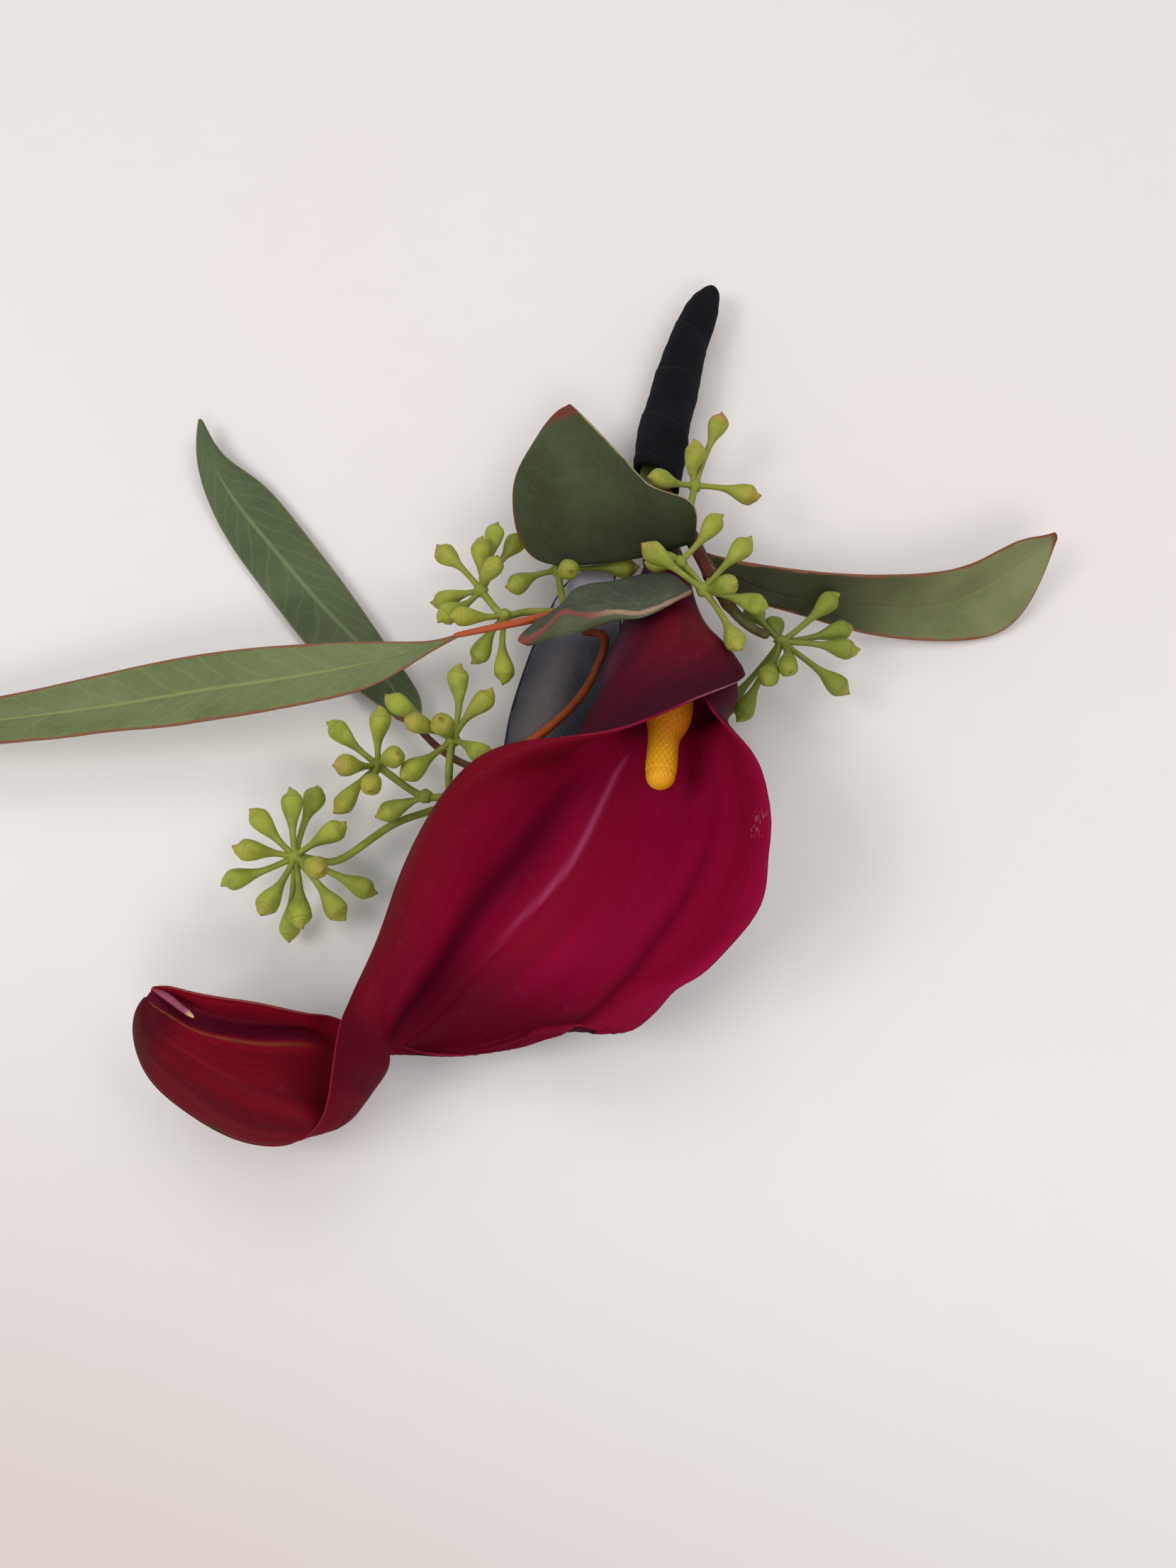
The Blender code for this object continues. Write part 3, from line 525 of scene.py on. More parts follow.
# The blade: the surface through its stations, a groove along the rib, veins raised as soft
# slanting ridges, a slow wave that grows towards the margins, and a thickness that thins to them.
def makeLeaf(name, look):
    rows, columns = fineness["leaf"]
    along, across = np.linspace(0, 1, rows), crowdedShares(columns, 0.5)
    stations = np.reshape(leafStations[name], (len(leafStations[name]), -1, 3))
    grid = surfaceAt(stations, along, across)
    run = runAcross(grid)
    fromMargin = np.minimum(run, run[:, -1:] - run)
    coloured = marginReach(name, fromMargin, across[None, :], along[:, None])
    if "rimAt" in look:        # a folded leaf shows its rim along the fold instead
        coloured = np.abs(run - run[:, [np.argmin(np.abs(across - look["rimAt"]))]])
    length = runAlong(grid[:, len(across) // 2])
    fromEnd = np.minimum(length, length[-1] - length)
    fromRib = np.abs(across - 0.5)[None, :]
    phase = along[:, None] * look["veins"] - fromRib * look["slant"]
    opening = ease(fromEnd, 0.5, 6.0)[:, None]
    relief = look["flutes"] * np.cos(2 * np.pi * phase) * opening
    relief -= look["ribDepth"] * bell(fromRib, 0, 0.03) * opening
    farWave = ripples(np.stack([length / 4.0, 0 * length], axis=1), 1.0)[:, None]
    nearWave = ripples(np.stack([length / 3.0, 0 * length + 9], axis=1), 1.0)[:, None]
    side = across[None, :] * 2 - 1
    relief += look["waves"] * opening * np.abs(side) ** 3 * np.where(side > 0, farWave, nearWave)
    sign = np.sign(gridNormals(grid)[..., 2].mean())
    grid = grid + gridNormals(grid) * (relief * sign)[..., None]
    thick = leafThickness * (0.4 + 0.6 * ease(fromMargin, 0, 0.7))
    part = shellPart(grid, thick, (across, along), margin=coloured, tip=(length[-1] - length)[:, None],
                     shade=leafShade(name, across[None, :], along[:, None]))
    top = leafFinish(name + "_top", look)
    under = leafFinish(name + "_underside", {**look, **look["under"], "veinShow": 0.25})
    if sign < 0:        # the first side of the shell is then the underside
        top, under = under, top
    addPiece(name + "_blade", [part], [top, under, top if sign > 0 else under], name)


for leafName, leafLook in leafLooks.items():
    makeLeaf(leafName, {**leafUsual, **leafLook})
print("leaves done")


# The calla's spathe.

spathe = {
    "thickness": 0.62, "rimThickness": 0.30, "rollGap": 1.7, "ribAngle": 250,
    "lobeWay": (0.45, -0.90, 0.0), "nick": (-25.7, -63.4, 6.0), "scuff": (37.4, -30.6, 22.0),
    "awn": [(-32.9, -48.3, 13.8, 0.12), (-31.2, -49.1, 13.7, 0.42), (-29.6, -50.2, 13.3, 0.40),
            (-28.6, -50.9, 13.1, 0.34), (-27.8, -51.5, 13.0, 0.12)],
    # centre, radii, angles of the outer and inner margin, from +X towards +Z
    "tube": [
        ((28.5, 12.9, 7.2), (2.4, 2.4), (-50, 420)),
        ((27.9, 5.4, 8.2), (4.2, 4.2), (-35, 425)),
        ((28.4, -0.6, 9.2), (6.4, 6.2), (-15, 430)),
        ((28.9, -6.1, 10.2), (8.6, 8.2), (8, 432)),
    ],
    # left margin, left belly, rib, right belly, right margin, ending in the half twist
    "limb": [
        [31.4, -13.8, 20.6, 19.5, -10.6, 14.0, 25.3, -9.4, 1.1, 35.9, -10.2, 8.0, 32.9, -13.5, 18.0],
        [22.3, -17.8, 20.5, 15.3, -16.7, 11.0, 22.6, -13.0, 1.0, 32.6, -12.9, 5.0, 37.1, -20.7, 21.0],
        [12.9, -18.8, 19.5, 10.1, -20.9, 14.0, 19.5, -18.8, 1.1, 32.2, -21.4, 6.0, 38.7, -28.4, 24.0],
        [4.6, -20.3, 17.0, 4.1, -26.3, 15.5, 15.3, -27.7, 1.2, 29.6, -30.5, 7.0, 38.4, -36.6, 24.0],
        [-1.3, -26.8, 14.5, 0.7, -33.3, 16.0, 10.3, -35.5, 2.0, 24.7, -38.6, 6.0, 35.5, -43.5, 20.0],
        [-4.9, -34.3, 12.5, -1.5, -39.9, 16.0, 5.0, -41.5, 2.8, 17.3, -45.7, 5.0, 28.3, -49.2, 14.0],
        [-6.9, -41.5, 12.5, -3.8, -45.7, 15.0, 0.1, -47.4, 3.6, 10.2, -50.3, 4.0, 21.0, -52.6, 9.0],
        [-9.0, -48.1, 14.0, -6.0, -50.7, 13.5, -4.2, -51.8, 4.2, 2.5, -53.0, 3.6, 10.8, -53.3, 5.5],
        [-10.2, -53.5, 16.5, -5.5, -55.5, 10.5, -7.1, -54.2, 5.4, -4.0, -53.5, 3.6, -1.3, -53.7, 4.0],
        [-10.6, -59.3, 17.0, -7.0, -58.7, 9.0, -10.5, -54.8, 5.2, -11.3, -52.0, 4.2, -11.5, -50.2, 5.5],
        [-12.0, -63.4, 14.0, -10.3, -62.0, 9.5, -14.8, -53.9, 8.0, -15.7, -51.3, 6.2, -15.2, -50.0, 8.5],
        [-16.4, -65.2, 8.5, -15.3, -61.7, 12.5, -19.5, -54.3, 10.5, -20.4, -51.2, 8.0, -20.1, -49.5, 11.0],
        [-23.1, -64.3, 6.0, -22.0, -60.0, 12.5, -24.1, -53.9, 11.5, -25.0, -50.9, 9.6, -24.6, -49.1, 12.5],
        [-29.7, -60.9, 5.5, -27.3, -57.0, 12.0, -27.8, -53.0, 12.0, -28.6, -50.1, 11.0, -28.4, -48.5, 13.0],
        [-34.5, -56.7, 6.5, -31.8, -54.1, 12.0, -30.7, -51.4, 12.5, -31.0, -49.3, 12.2, -30.8, -48.0, 13.5],
        [-36.1, -51.8, 8.5, -34.2, -51.0, 12.0, -32.7, -50.0, 13.0, -32.3, -49.0, 13.2, -32.2, -48.0, 13.8],
        [-34.4, -49.4, 12.0, -33.7, -49.2, 12.8, -33.2, -49.0, 13.4, -33.0, -48.5, 13.6, -32.7, -48.2, 14.0],
    ],
}


# Nine points round a ring of the rolled tube, one wrap lying rollGap outside the other.
def tubeRow(centre, radii, margins):
    outer, inner = margins
    rib = spathe["ribAngle"]
    angles = np.concatenate([np.linspace(outer, rib, 5), np.linspace(rib, inner, 5)[1:]])
    lift = spathe["rollGap"] * (0.5 - (angles - outer) / (inner - outer))
    turn = np.radians(angles)
    row = np.tile(centre, (len(angles), 1)).astype(float)
    row[:, 0] += (radii[0] + lift) * np.cos(turn)
    row[:, 2] += (radii[1] + lift) * np.sin(turn)
    return row


# Where across the sheet the rib and the right-hand fold run, as shares of the width.
def ribPlace(v):
    return 0.509 - 0.020 * bell(v, 0.410, 0.045)


def foldPlace(v):
    return 0.797 + 0.045 * ease(v, 0.40, 0.46)


# The spathe: one sheet through its rows, with a raised rib beside a valley, a fold along the
# right side, fine lengthwise veins, and a thickness that thins to the margins.
def makeSpathe():
    rows = [tubeRow(*ring) for ring in spathe["tube"]]
    rows += [curveThrough(row, len(rows[0])) for row in np.reshape(spathe["limb"], (-1, 5, 3))]
    along = np.linspace(0, 1, fineness["spathe"][0])
    across = crowdedShares(fineness["spathe"][1], 0.45)
    grid = surfaceAt(rows, along, across)
    run = runAcross(grid)
    width = run[:, -1:]
    fromMargin = np.minimum(run, width - run)
    u, v = np.broadcast_arrays(across[None, :], along[:, None])
    limb = window(v, 0.20, 0.30, 0.52, 0.66)
    rib = ribPlace(v)
    relief = 0.26 * bell(u, rib, 0.014) * limb
    relief -= 0.55 * bell(u, rib - 0.085, 0.048) * limb
    relief += 1.3 * bell(u, 0.300, 0.075) * window(v, 0.24, 0.34, 0.42, 0.54)
    fold = foldPlace(v)
    relief += 0.20 * bell(u, fold + 0.045, 0.035) * window(v, 0.24, 0.34, 0.50, 0.60)
    relief -= 0.30 * bell(u, fold, 0.024) * window(v, 0.24, 0.40, 0.50, 0.60)
    relief += 0.012 * np.sin(u * width * 5.0) * ease(v, 0.05, 0.2)
    relief += 0.22 * ease(u, 0.90, 1.0) * np.sin(v * 62 + 2 * np.sin(v * 17)) * ease(v, 0.28, 0.36) * limb
    lobe = 0.35 * bell(v, 0.485, 0.012) - 0.8 * bell(v, 0.449, 0.014)
    lobe -= 1.9 * bell(v, 0.517, 0.011) + 0.7 * bell(v, 0.536, 0.012)
    grid = grid + (lobe * ease(u, 0.72, 1.0))[..., None] * spathe["lobeWay"]
    grid = grid - gridNormals(grid) * relief[..., None] * innerSign(grid)
    thick = spathe["rimThickness"] + (spathe["thickness"] - spathe["rimThickness"]) * ease(fromMargin, 0, 1.2)
    part = shellPart(grid, thick, (across, along), **spatheMarks(u, v))
    inner, outer, rim = spatheFinish("spathe_inner", True), spatheFinish("spathe_outer", False), rimFinish()
    finishes = [outer, inner, rim] if innerSign(grid) > 0 else [inner, outer, rim]
    awn = awnPart(part["marks"])
    addPiece("spathe_bract", [part, awn], finishes + [awnFinish()], "spathe")


# The withered point at the very tip: a short thin strand lying on the inner face.
def awnPart(marks):
    rows, sides = fineness["awn"]
    path = curveThrough(spathe["awn"], rows)
    part = tubePart(path[:, :3], path[:, 3], sides)
    share = np.repeat(np.linspace(0, 1, rows), sides)
    part["marks"] = {key: 0 * share for key in marks}
    part["uv"] = np.stack([0 * share, share], axis=1)
    part["faceOf"] = np.full(len(part["quads"]), 3)
    return part


# Pale mauve, drying to cream at its end.
def awnFinish():
    finish = newFinish("spathe_awn", Roughness=0.5, Specular_IOR_Level=0.25)
    along = axesOf(sheetPlaceOf())[1]
    grain = noiseOf(placeOf(), 0.5, 3.0)
    body = coats((0.50, 0.13, 0.23), (rangeOf(along, 0.0, 0.30), 1, (0.56, 0.25, 0.34)),
                 (rangeOf(along, 0.66, 0.88), 1, (0.86, 0.68, 0.46)), (grain, 0.4, (0.50, 0.22, 0.30)))
    connect(Base_Color=body, Normal=bumpOf(grain, 0.10, 0.6))
    return finish


# Plus one if the grid's own normals point away from the inner face, which looks up along the limb.
def innerSign(grid):
    rows, columns = grid.shape[:2]
    middle = gridNormals(grid)[rows // 3:rows // 2, columns // 3:2 * columns // 3, 2]
    return -1.0 if middle.mean() > 0 else 1.0


# Where the skin turns red on the inner face, and gold, purple or warm on the outer; also painted light:
# painted shade as a deeper crimson and in the valleys and throat, a painted highlight along the rib and a
# painted sheen on the tube.
def spatheMarks(u, v):
    rib = ribPlace(v)
    opened = ease(v, 0.20, 0.28)
    red = ease(u, 0.38, 0.16)
    # Painted shade as a deeper crimson over the lower limb, the neck and the tip, where the limb lies in
    # shade.
    lower = ease(v, 0.42, 0.50) * (1 - 0.6 * bell(u, 0.92, 0.08) * ease(v, 0.54, 0.50))
    deep = 0.9 * lower * ease(v, 0.66, 0.62) * (1 - 0.7 * ease(u, 0.44, 0.32) * ease(v, 0.61, 0.54))
    atTip = ease(v, 0.60, 0.66)
    deep = np.maximum(deep, 0.55 * atTip * ease(u, 0.40, 0.25))
    deep = np.maximum(deep, 0.95 * ease(v, 0.85, 0.92) * ease(u, 0.58, 0.48))
    deep = np.maximum(deep, bell(v, 0.645, 0.030) * ease(u, 0.52, 0.45))
    # Painted shade in the valley beside the rib, along the right-hand fold and down the throat of the tube.
    paintedShade = 0.85 * bell(u, rib - 0.095, 0.042) * window(v, 0.22, 0.36, 0.50, 0.62)
    paintedShade = np.maximum(paintedShade, 0.55 * bell(u, foldPlace(v), 0.022) * window(v, 0.32, 0.42, 0.49, 0.54))
    paintedShade = np.maximum(paintedShade, ease(v, 0.24, 0.17))
    # Painted highlight along the crest of the rib.
    pale = bell(u, rib + 0.003, 0.0065) * window(v, 0.240, 0.270, 0.36, 0.47)
    # Painted sheen down the left of the tube's outer face.
    bloom = bell(u, 0.31, 0.05) * window(v, 0.05, 0.10, 0.18, 0.25)
    pale = np.maximum(pale, bloom)
    gold = bell(u, 0.50, 0.009) * window(v, 0.68, 0.76, 0.94, 0.99)
    purple = ease(u, 0.505, 0.54) * ease(u, 0.98, 0.62) * ease(v, 0.66, 0.72)
    warm = bell(u, 0.15, 0.10) * bell(v, 0.11, 0.07)
    return {"red": red * opened, "deep": deep, "paintedShade": paintedShade, "pale": pale, "gold": gold, "purple": purple,
            "warm": warm}


# One within about reach millimetres of the spot, ragged at its edge, nought farther off.
def scarOf(place, spot, reach):
    away = addNode("ShaderNodeVectorMath", {0: place, 1: [axis * millimetre for axis in spot]},
                   operation="DISTANCE").outputs["Value"]
    away = mathOf("MULTIPLY", away, rangeOf(noiseOf(place, 0.7, 3.0), 0.3, 0.7, 0.6, 1.4))
    return rangeOf(away, reach * 0.5 * millimetre, reach * millimetre, 1.0, 0.0)


# Crimson to magenta with lengthwise streaks and a soft waxy grain, and painted shade, painted highlight and
# painted sheen laid on by the marks.
def spatheFinish(name, inner):
    finish = newFinish(name, Roughness=0.55, IOR=1.12, Specular_IOR_Level=0.5)
    place, sheet = placeOf(), sheetPlaceOf()
    streak = noiseOf(sheet, 0.02, 4.0, (1.0, 0.06, 1), 0.2, 1.0)
    broad = noiseOf(sheet, 0.12, 3.0, (1.0, 0.35, 1), 0.3, 1.0)
    grain = noiseOf(place, 0.35, 3.0)
    streaks = rangeOf(streak, 0.32, 0.68)
    patches = rangeOf(broad, 0.35, 0.65)
    if inner:
        # Inner face: the deep mark and the darkest mark lay painted shade, the pale mark a painted highlight
        # along the rib.
        body = coats((0.53, 0.04, 0.17), (patches, 1, (0.59, 0.05, 0.22)), ("red", 1, (0.43, 0.03, 0.11)),
                     ("deep", 1, (0.33, 0.02, 0.095)), ("paintedShade", 0.85, (0.24, 0.01, 0.085)),
                     ("pale", 0.55, (0.82, 0.36, 0.55)), (streaks, 0.10, (0.36, 0.02, 0.13)))
    else:
        # Outer face: the pale mark lays a painted sheen on the tube, and the deep mark painted shade towards
        # the tip.
        body = coats((0.21, 0.040, 0.105), (patches, 1, (0.27, 0.048, 0.12)),
                     ("warm", 1, (0.42, 0.065, 0.12)), ("pale", 0.5, (0.36, 0.19, 0.26)))
        crimson = coats((0.50, 0.035, 0.115), (rangeOf(broad, 0.4, 0.62), 1, (0.44, 0.025, 0.095)),
                        ("purple", 1, (0.33, 0.04, 0.125)), ("deep", 1, (0.29, 0.02, 0.075)))
        body = mixOf(rangeOf(axesOf(sheet)[1], 0.50, 0.62), body, crimson)
        body = coats(body, (streaks, 0.28, (0.17, 0.02, 0.08)), ("gold", 0.5, (0.56, 0.37, 0.20)))
    flecks = rangeOf(noiseOf(place, 0.8, 3.0, (3.0, 0.7, 1.0)), 0.50, 0.62)
    scuffed = mathOf("MULTIPLY", scarOf(place, spathe["scuff"], 2.2), flecks)
    speck = rangeOf(noiseOf(place, 1.6, 2.0), 0.66, 0.74)
    body = coats(body, (scarOf(place, spathe["nick"], 1.1), 0.9, (0.16, 0.17, 0.08)),
                 (scuffed, 0.55, (0.78, 0.45, 0.55)), (speck, 0.03, (0.70, 0.35, 0.50)))
    connect(Base_Color=body, Roughness=rangeOf(broad, 0.3, 0.7, 0.46, 0.60),
            Normal=bumpOf(sumOf((streak, 0.5), (grain, 0.35)), 0.06, 0.4))
    return finish


# The cut-thin margin: pale pink by the flap, crimson along the limb, tan at the tip.
def rimFinish():
    finish = newFinish("spathe_rim", Roughness=0.55, IOR=1.15, Specular_IOR_Level=0.5)
    across, along = axesOf(sheetPlaceOf())[:2]
    along = sumOf((along, 1.0), (mathOf("ROUND", across), 0.07))
    grain = noiseOf(placeOf(), 1.2, 3.0)
    body = coats((0.66, 0.40, 0.46), (rangeOf(along, 0.17, 0.22), 1, (0.51, 0.055, 0.18)),
                 (rangeOf(along, 0.66, 0.80), 1, (0.55, 0.26, 0.22)), (grain, 0.4, (0.45, 0.05, 0.16)))
    connect(Base_Color=body)
    return finish


makeSpathe()
print("spathe done")


# Stems, twigs and leaf stalks.

# Two tones along the stalk, soft patches, a fine grain and small pale pores.
def stalkFinish(name, look):
    finish = newFinish(name, Roughness=0.5, Specular_IOR_Level=0.2)
    place = placeOf()
    patch = noiseOf(place, 2.2, 4.0)
    fine = noiseOf(place, 0.30, 3.0)
    turning = rangeOf(markOf("along"), *look.get("turning", (0.0, 1.0)))
    body = coats(look["start"], (turning, 1, look["end"]),
                 (rangeOf(patch, 0.35, 0.7), 0.6, look["patch"]),
                 (rangeOf(fine, 0.62, 0.75), 0.5, look["pore"]))
    connect(Base_Color=body, Roughness=rangeOf(patch, 0.3, 0.7, look["rough"] - 0.08, look["rough"] + 0.08),
            Normal=bumpOf(sumOf((patch, 1.0), (fine, 0.6)), 0.12, 0.7))
    return finish


brown = {"start": (0.33, 0.15, 0.10), "end": (0.45, 0.22, 0.12), "patch": (0.24, 0.12, 0.09),
         "pore": (0.58, 0.40, 0.26), "rough": 0.50}
stalks = {
    "calla_stem": {
        "slot": "calla_stem_green", "lumps": 0.05,
        "look": {"start": (0.40, 0.47, 0.24), "end": (0.36, 0.28, 0.18), "patch": (0.30, 0.38, 0.18),
                 "pore": (0.55, 0.58, 0.36), "rough": 0.42},
        "path": [(31.8, 52.6, 3.5, 1.20), (29.8, 44.7, 3.5, 1.45), (28.4, 38.2, 3.6, 1.45),
                 (27.0, 31.1, 3.9, 1.45), (26.7, 25.4, 4.9, 1.55), (27.5, 19.7, 6.1, 2.20),
                 (28.4, 13.8, 7.1, 2.90)],
    },
    "twig_main": {
        "slot": "twig_brown", "knots": [0.60, 0.76, 0.86], "lumps": 0.06,
        "look": {**brown, "start": (0.34, 0.155, 0.11), "end": (0.34, 0.33, 0.17), "turning": (0.78, 0.90)},
        "path": [(34.1, 52.0, 3.5, 0.50), (32.2, 44.7, 3.5, 0.60), (30.8, 38.2, 3.6, 0.60),
                 (29.6, 31.1, 4.0, 0.65), (29.3, 28.6, 4.3, 0.60), (29.4, 26.6, 5.1, 0.65),
                 (30.1, 23.8, 6.5, 0.75), (31.1, 19.7, 8.2, 0.90), (32.3, 15.6, 9.7, 1.00),
                 (33.3, 12.0, 11.1, 0.90), (34.4, 8.3, 11.9, 0.80), (36.2, 5.7, 10.8, 0.80),
                 (39.2, 3.3, 8.6, 0.70), (42.3, 1.9, 7.5, 0.60)],
    },
    "twig_back": {
        "slot": "twig_brown", "knots": [0.12], "lumps": 0.05,
        "look": {**brown, "start": (0.26, 0.13, 0.07), "end": (0.70, 0.31, 0.09),
                 "patch": (0.50, 0.20, 0.08)},
        "path": [(17.2, 2.3, 8.2, 0.60), (19.6, 1.6, 8.7, 0.60), (20.2, 0.0, 8.6, 0.60),
                 (19.3, -2.8, 7.8, 0.58), (17.7, -5.9, 7.2, 0.58), (15.4, -8.8, 6.8, 0.58),
                 (12.9, -11.2, 6.6, 0.60), (9.2, -14.2, 6.4, 0.60), (5.1, -17.3, 6.2, 0.60),
                 (2.4, -19.4, 6.0, 0.60)],
    },
    "petiole_left": {
        "slot": "petiole_red", "lumps": 0.03,
        "look": {"start": (0.66, 0.32, 0.17), "end": (0.66, 0.24, 0.13), "patch": (0.70, 0.30, 0.16),
                 "pore": (0.70, 0.50, 0.35), "rough": 0.42},
        "path": [(0.4, -0.3, 11.6, 0.35), (5.9, 0.8, 12.0, 0.50), (11.5, 2.0, 12.3, 0.55),
                 (15.3, 3.0, 12.7, 0.55), (19.9, 4.3, 13.3, 0.55), (24.6, 4.9, 14.2, 0.55),
                 (28.4, 4.9, 14.5, 0.50), (29.8, 5.3, 14.2, 0.45)],
    },
    "petiole_upper_left": {
        "slot": "twig_brown", "lumps": 0.03,
        "look": {**brown, "end": (0.40, 0.30, 0.17)},
        "path": [(-4.95, -9.05, 2.1, 0.50), (-2.4, -12.0, 2.6, 0.50), (1.1, -14.8, 3.4, 0.50),
                 (4.6, -16.5, 4.4, 0.50)],
    },
}


# A round stalk along its path, thicker at its knots, a little lumpy, rounded off at both ends.
def makeStalk(name, stalk):
    count, sides = fineness["stalk"]
    share = np.linspace(0, 1, count)
    path = curveThrough(stalk["path"], count)
    centre, radius = path[:, :3], path[:, 3].copy()
    for knot in stalk.get("knots", []):
        radius *= 1 + 0.22 * bell(share, knot, 0.012)
    radius *= 0.25 + 0.75 * np.sqrt(np.clip(ease(share, -0.005, 0.012) * ease(share, 1.005, 0.988), 0, 1))
    lumps = stalk["lumps"] * ripplesRound(share * 40, sides, 2, 1.6)
    part = tubePart(centre, radius, sides, lumps, along=share[:, None])
    addPiece(name + "_stalk", [part], [stalkFinish(name + "_skin", stalk["look"])], name)


for stalkName, stalk in stalks.items():
    makeStalk(stalkName, stalk)
print("stalks done")


# The spadix.

spadix = {
    "florets": 16, "pitch": 0.56, "bumps": 0.07, "tipRadius": 1.78,
    "path": [(28.5, 7.0, 8.2, 1.4), (28.6, 2.0, 9.0, 2.2), (28.7, -5.0, 9.9, 2.8), (28.4, -11.2, 10.5, 3.0),
             (27.8, -14.3, 10.9, 2.15), (27.4, -17.5, 11.3, 1.95), (27.1, -20.5, 11.6, 1.78),
             (27.0, -22.0, 11.8, 0.6)],
}


# A blunt finger whose radius swells into florets where two sets of spirals cross.
def makeSpadix():
    count, sides = fineness["spadix"]
    share = np.linspace(0, 1, count)
    path = curveThrough(spadix["path"], count)
    centre, radius = path[:, :3], path[:, 3]
    length = runAlong(centre)
    intoTip = np.clip((length - length[-1]) / spadix["tipRadius"] + 1, 0, 1)
    radius = np.where(share > 0.82, spadix["tipRadius"] * np.sqrt(1 - intoTip**2) + 0.05, radius)
    s, t = np.meshgrid(length / spadix["pitch"], roundTurn(sides) * spadix["florets"] / 2, indexing="ij")
    floret = np.abs(np.cos(np.pi * s / 2 + t) * np.cos(np.pi * s / 2 - t)) ** 0.6
    relief = spadix["bumps"] * floret * ease(share, 1.0, 0.97)[:, None]
    finish = newFinish("spadix_yellow", Roughness=0.62, Specular_IOR_Level=0.3)
    grain = noiseOf(placeOf(), 0.45, 3.0)
    body = coats((0.84, 0.55, 0.05), ("floret", 1, (0.94, 0.70, 0.11)), (grain, 0.35, (0.94, 0.64, 0.05)),
                 (rangeOf(markOf("along"), 0.75, 0.55), 1, (0.84, 0.50, 0.06)))
    connect(Base_Color=body, Normal=bumpOf(grain, 0.10, 0.8))
    part = tubePart(centre, radius, sides, relief, floret=floret, along=share[:, None])
    addPiece("spadix_finger", [part], [finish], "spadix")


makeSpadix()
print("spadix done")


# The wrap.

wrap = {
    "pitch": 8.5, "step": 0.15, "creases": 0.035, "wall": 0.55, "mouth": 10.0, "lumps": 0.50, "rag": 0.7,
    "slant": -1.6, "setBack": -0.9,
    "path": [(37.1, 65.6, 3.6, 0.9), (36.6, 63.4, 3.6, 1.7), (34.9, 59.3, 3.5, 2.6), (32.6, 52.6, 3.5, 3.2),
             (30.7, 44.7, 3.5, 3.5), (29.3, 38.2, 3.6, 3.5), (28.1, 31.1, 3.9, 3.5), (27.6, 28.1, 4.1, 3.4)],
}


# A sock of tape: over each helical turn the radius climbs a little and steps down at its edge;
# at the mouth the edge is ragged, and the wall goes back inside.
def wrapPart():
    count, sides = fineness["wrap"]
    path = curveThrough(wrap["path"], count)
    centre, radius = path[:, :3], path[:, 3]
    length = runAlong(centre)
    radius = radius * np.sqrt(np.clip(1 - (1 - np.clip(length / 1.6, 0, 1)) ** 2, 0.02, 1))
    s, t = np.meshgrid(length, roundTurn(sides), indexing="ij")
    phase = s / wrap["pitch"] - t / (2 * np.pi) + 0.10 * ripplesRound(length / 4.0, sides, 1.3, 1.2)
    local = phase - np.floor(phase)
    step = wrap["step"] * (ease(local, 0.0, 0.07) - local)
    creases = wrap["creases"] * np.sin(2 * np.pi * phase * 3 + 2.5 * np.sin(3 * t)) * ease(local, 0.05, 0.5)
    lumps = wrap["lumps"] * ripplesRound(length / 4.0, sides, 1.3, 0.8)
    relief = (step + creases + lumps) * ease(s, 0.8, 4.0)
    ragged = wrap["rag"] * ripples(np.stack([2.2 * np.cos(t), 2.2 * np.sin(t)], axis=-1), 0.5)
    ragged += wrap["slant"] * np.cos(t) + wrap["setBack"]
    slide = ragged * ease(length, length[-1] - 5, length[-1])[:, None]
    outer = tubePart(centre, radius, sides, relief, slide=slide)["points"].reshape(count, sides, 3)
    back = np.arange(count - 1, np.searchsorted(length, length[-1] - wrap["mouth"]), -2)
    tangent = unit(np.gradient(centre, axis=0))[back][:, None]
    inward = centre[back][:, None] - outer[back]
    inward = unit(inward - tangent * np.sum(inward * tangent, axis=-1, keepdims=True))
    edge = np.concatenate([local, np.full((len(back), sides), 0.5)])
    return ringPart(np.concatenate([outer, outer[back] + inward * wrap["wall"]]), {"turnEdge": edge})


# Black tape: fine fibre, a slow change of tone, and a fainter line along the edge of each turn.
def wrapFinish():
    sheen = {"Sheen_Weight": 0.015, "Sheen_Roughness": 0.5, "Sheen_Tint": paint(0.55, 0.58, 0.66)}
    finish = newFinish("wrap_black", Roughness=0.9, IOR=1.2, Specular_IOR_Level=0.5, **sheen)
    place = placeOf()
    fibre = noiseOf(place, 0.22, 4.0)
    patch = rangeOf(noiseOf(place, 5.0, 3.0), 0.35, 0.7)
    body = coats((0.050, 0.047, 0.064), (patch, 1, (0.072, 0.076, 0.090)),
                 (rangeOf(fibre, 0.5, 0.75), 0.4, (0.12, 0.123, 0.138)),
                 (nearTo(markOf("turnEdge"), 0.06, 0.06), 0.20, (0.15, 0.155, 0.17)))
    connect(Base_Color=body, Roughness=rangeOf(fibre, 0.3, 0.7, 0.78, 0.95),
            Normal=bumpOf(sumOf((fibre, 1.0), (noiseOf(place, 0.9, 2.0), 0.8)), 0.14, 0.9))
    return finish


addPiece("stem_wrap_tape", [wrapPart()], [wrapFinish()], "stem_wrap")
print("wrap done")


# Clusters of buds.

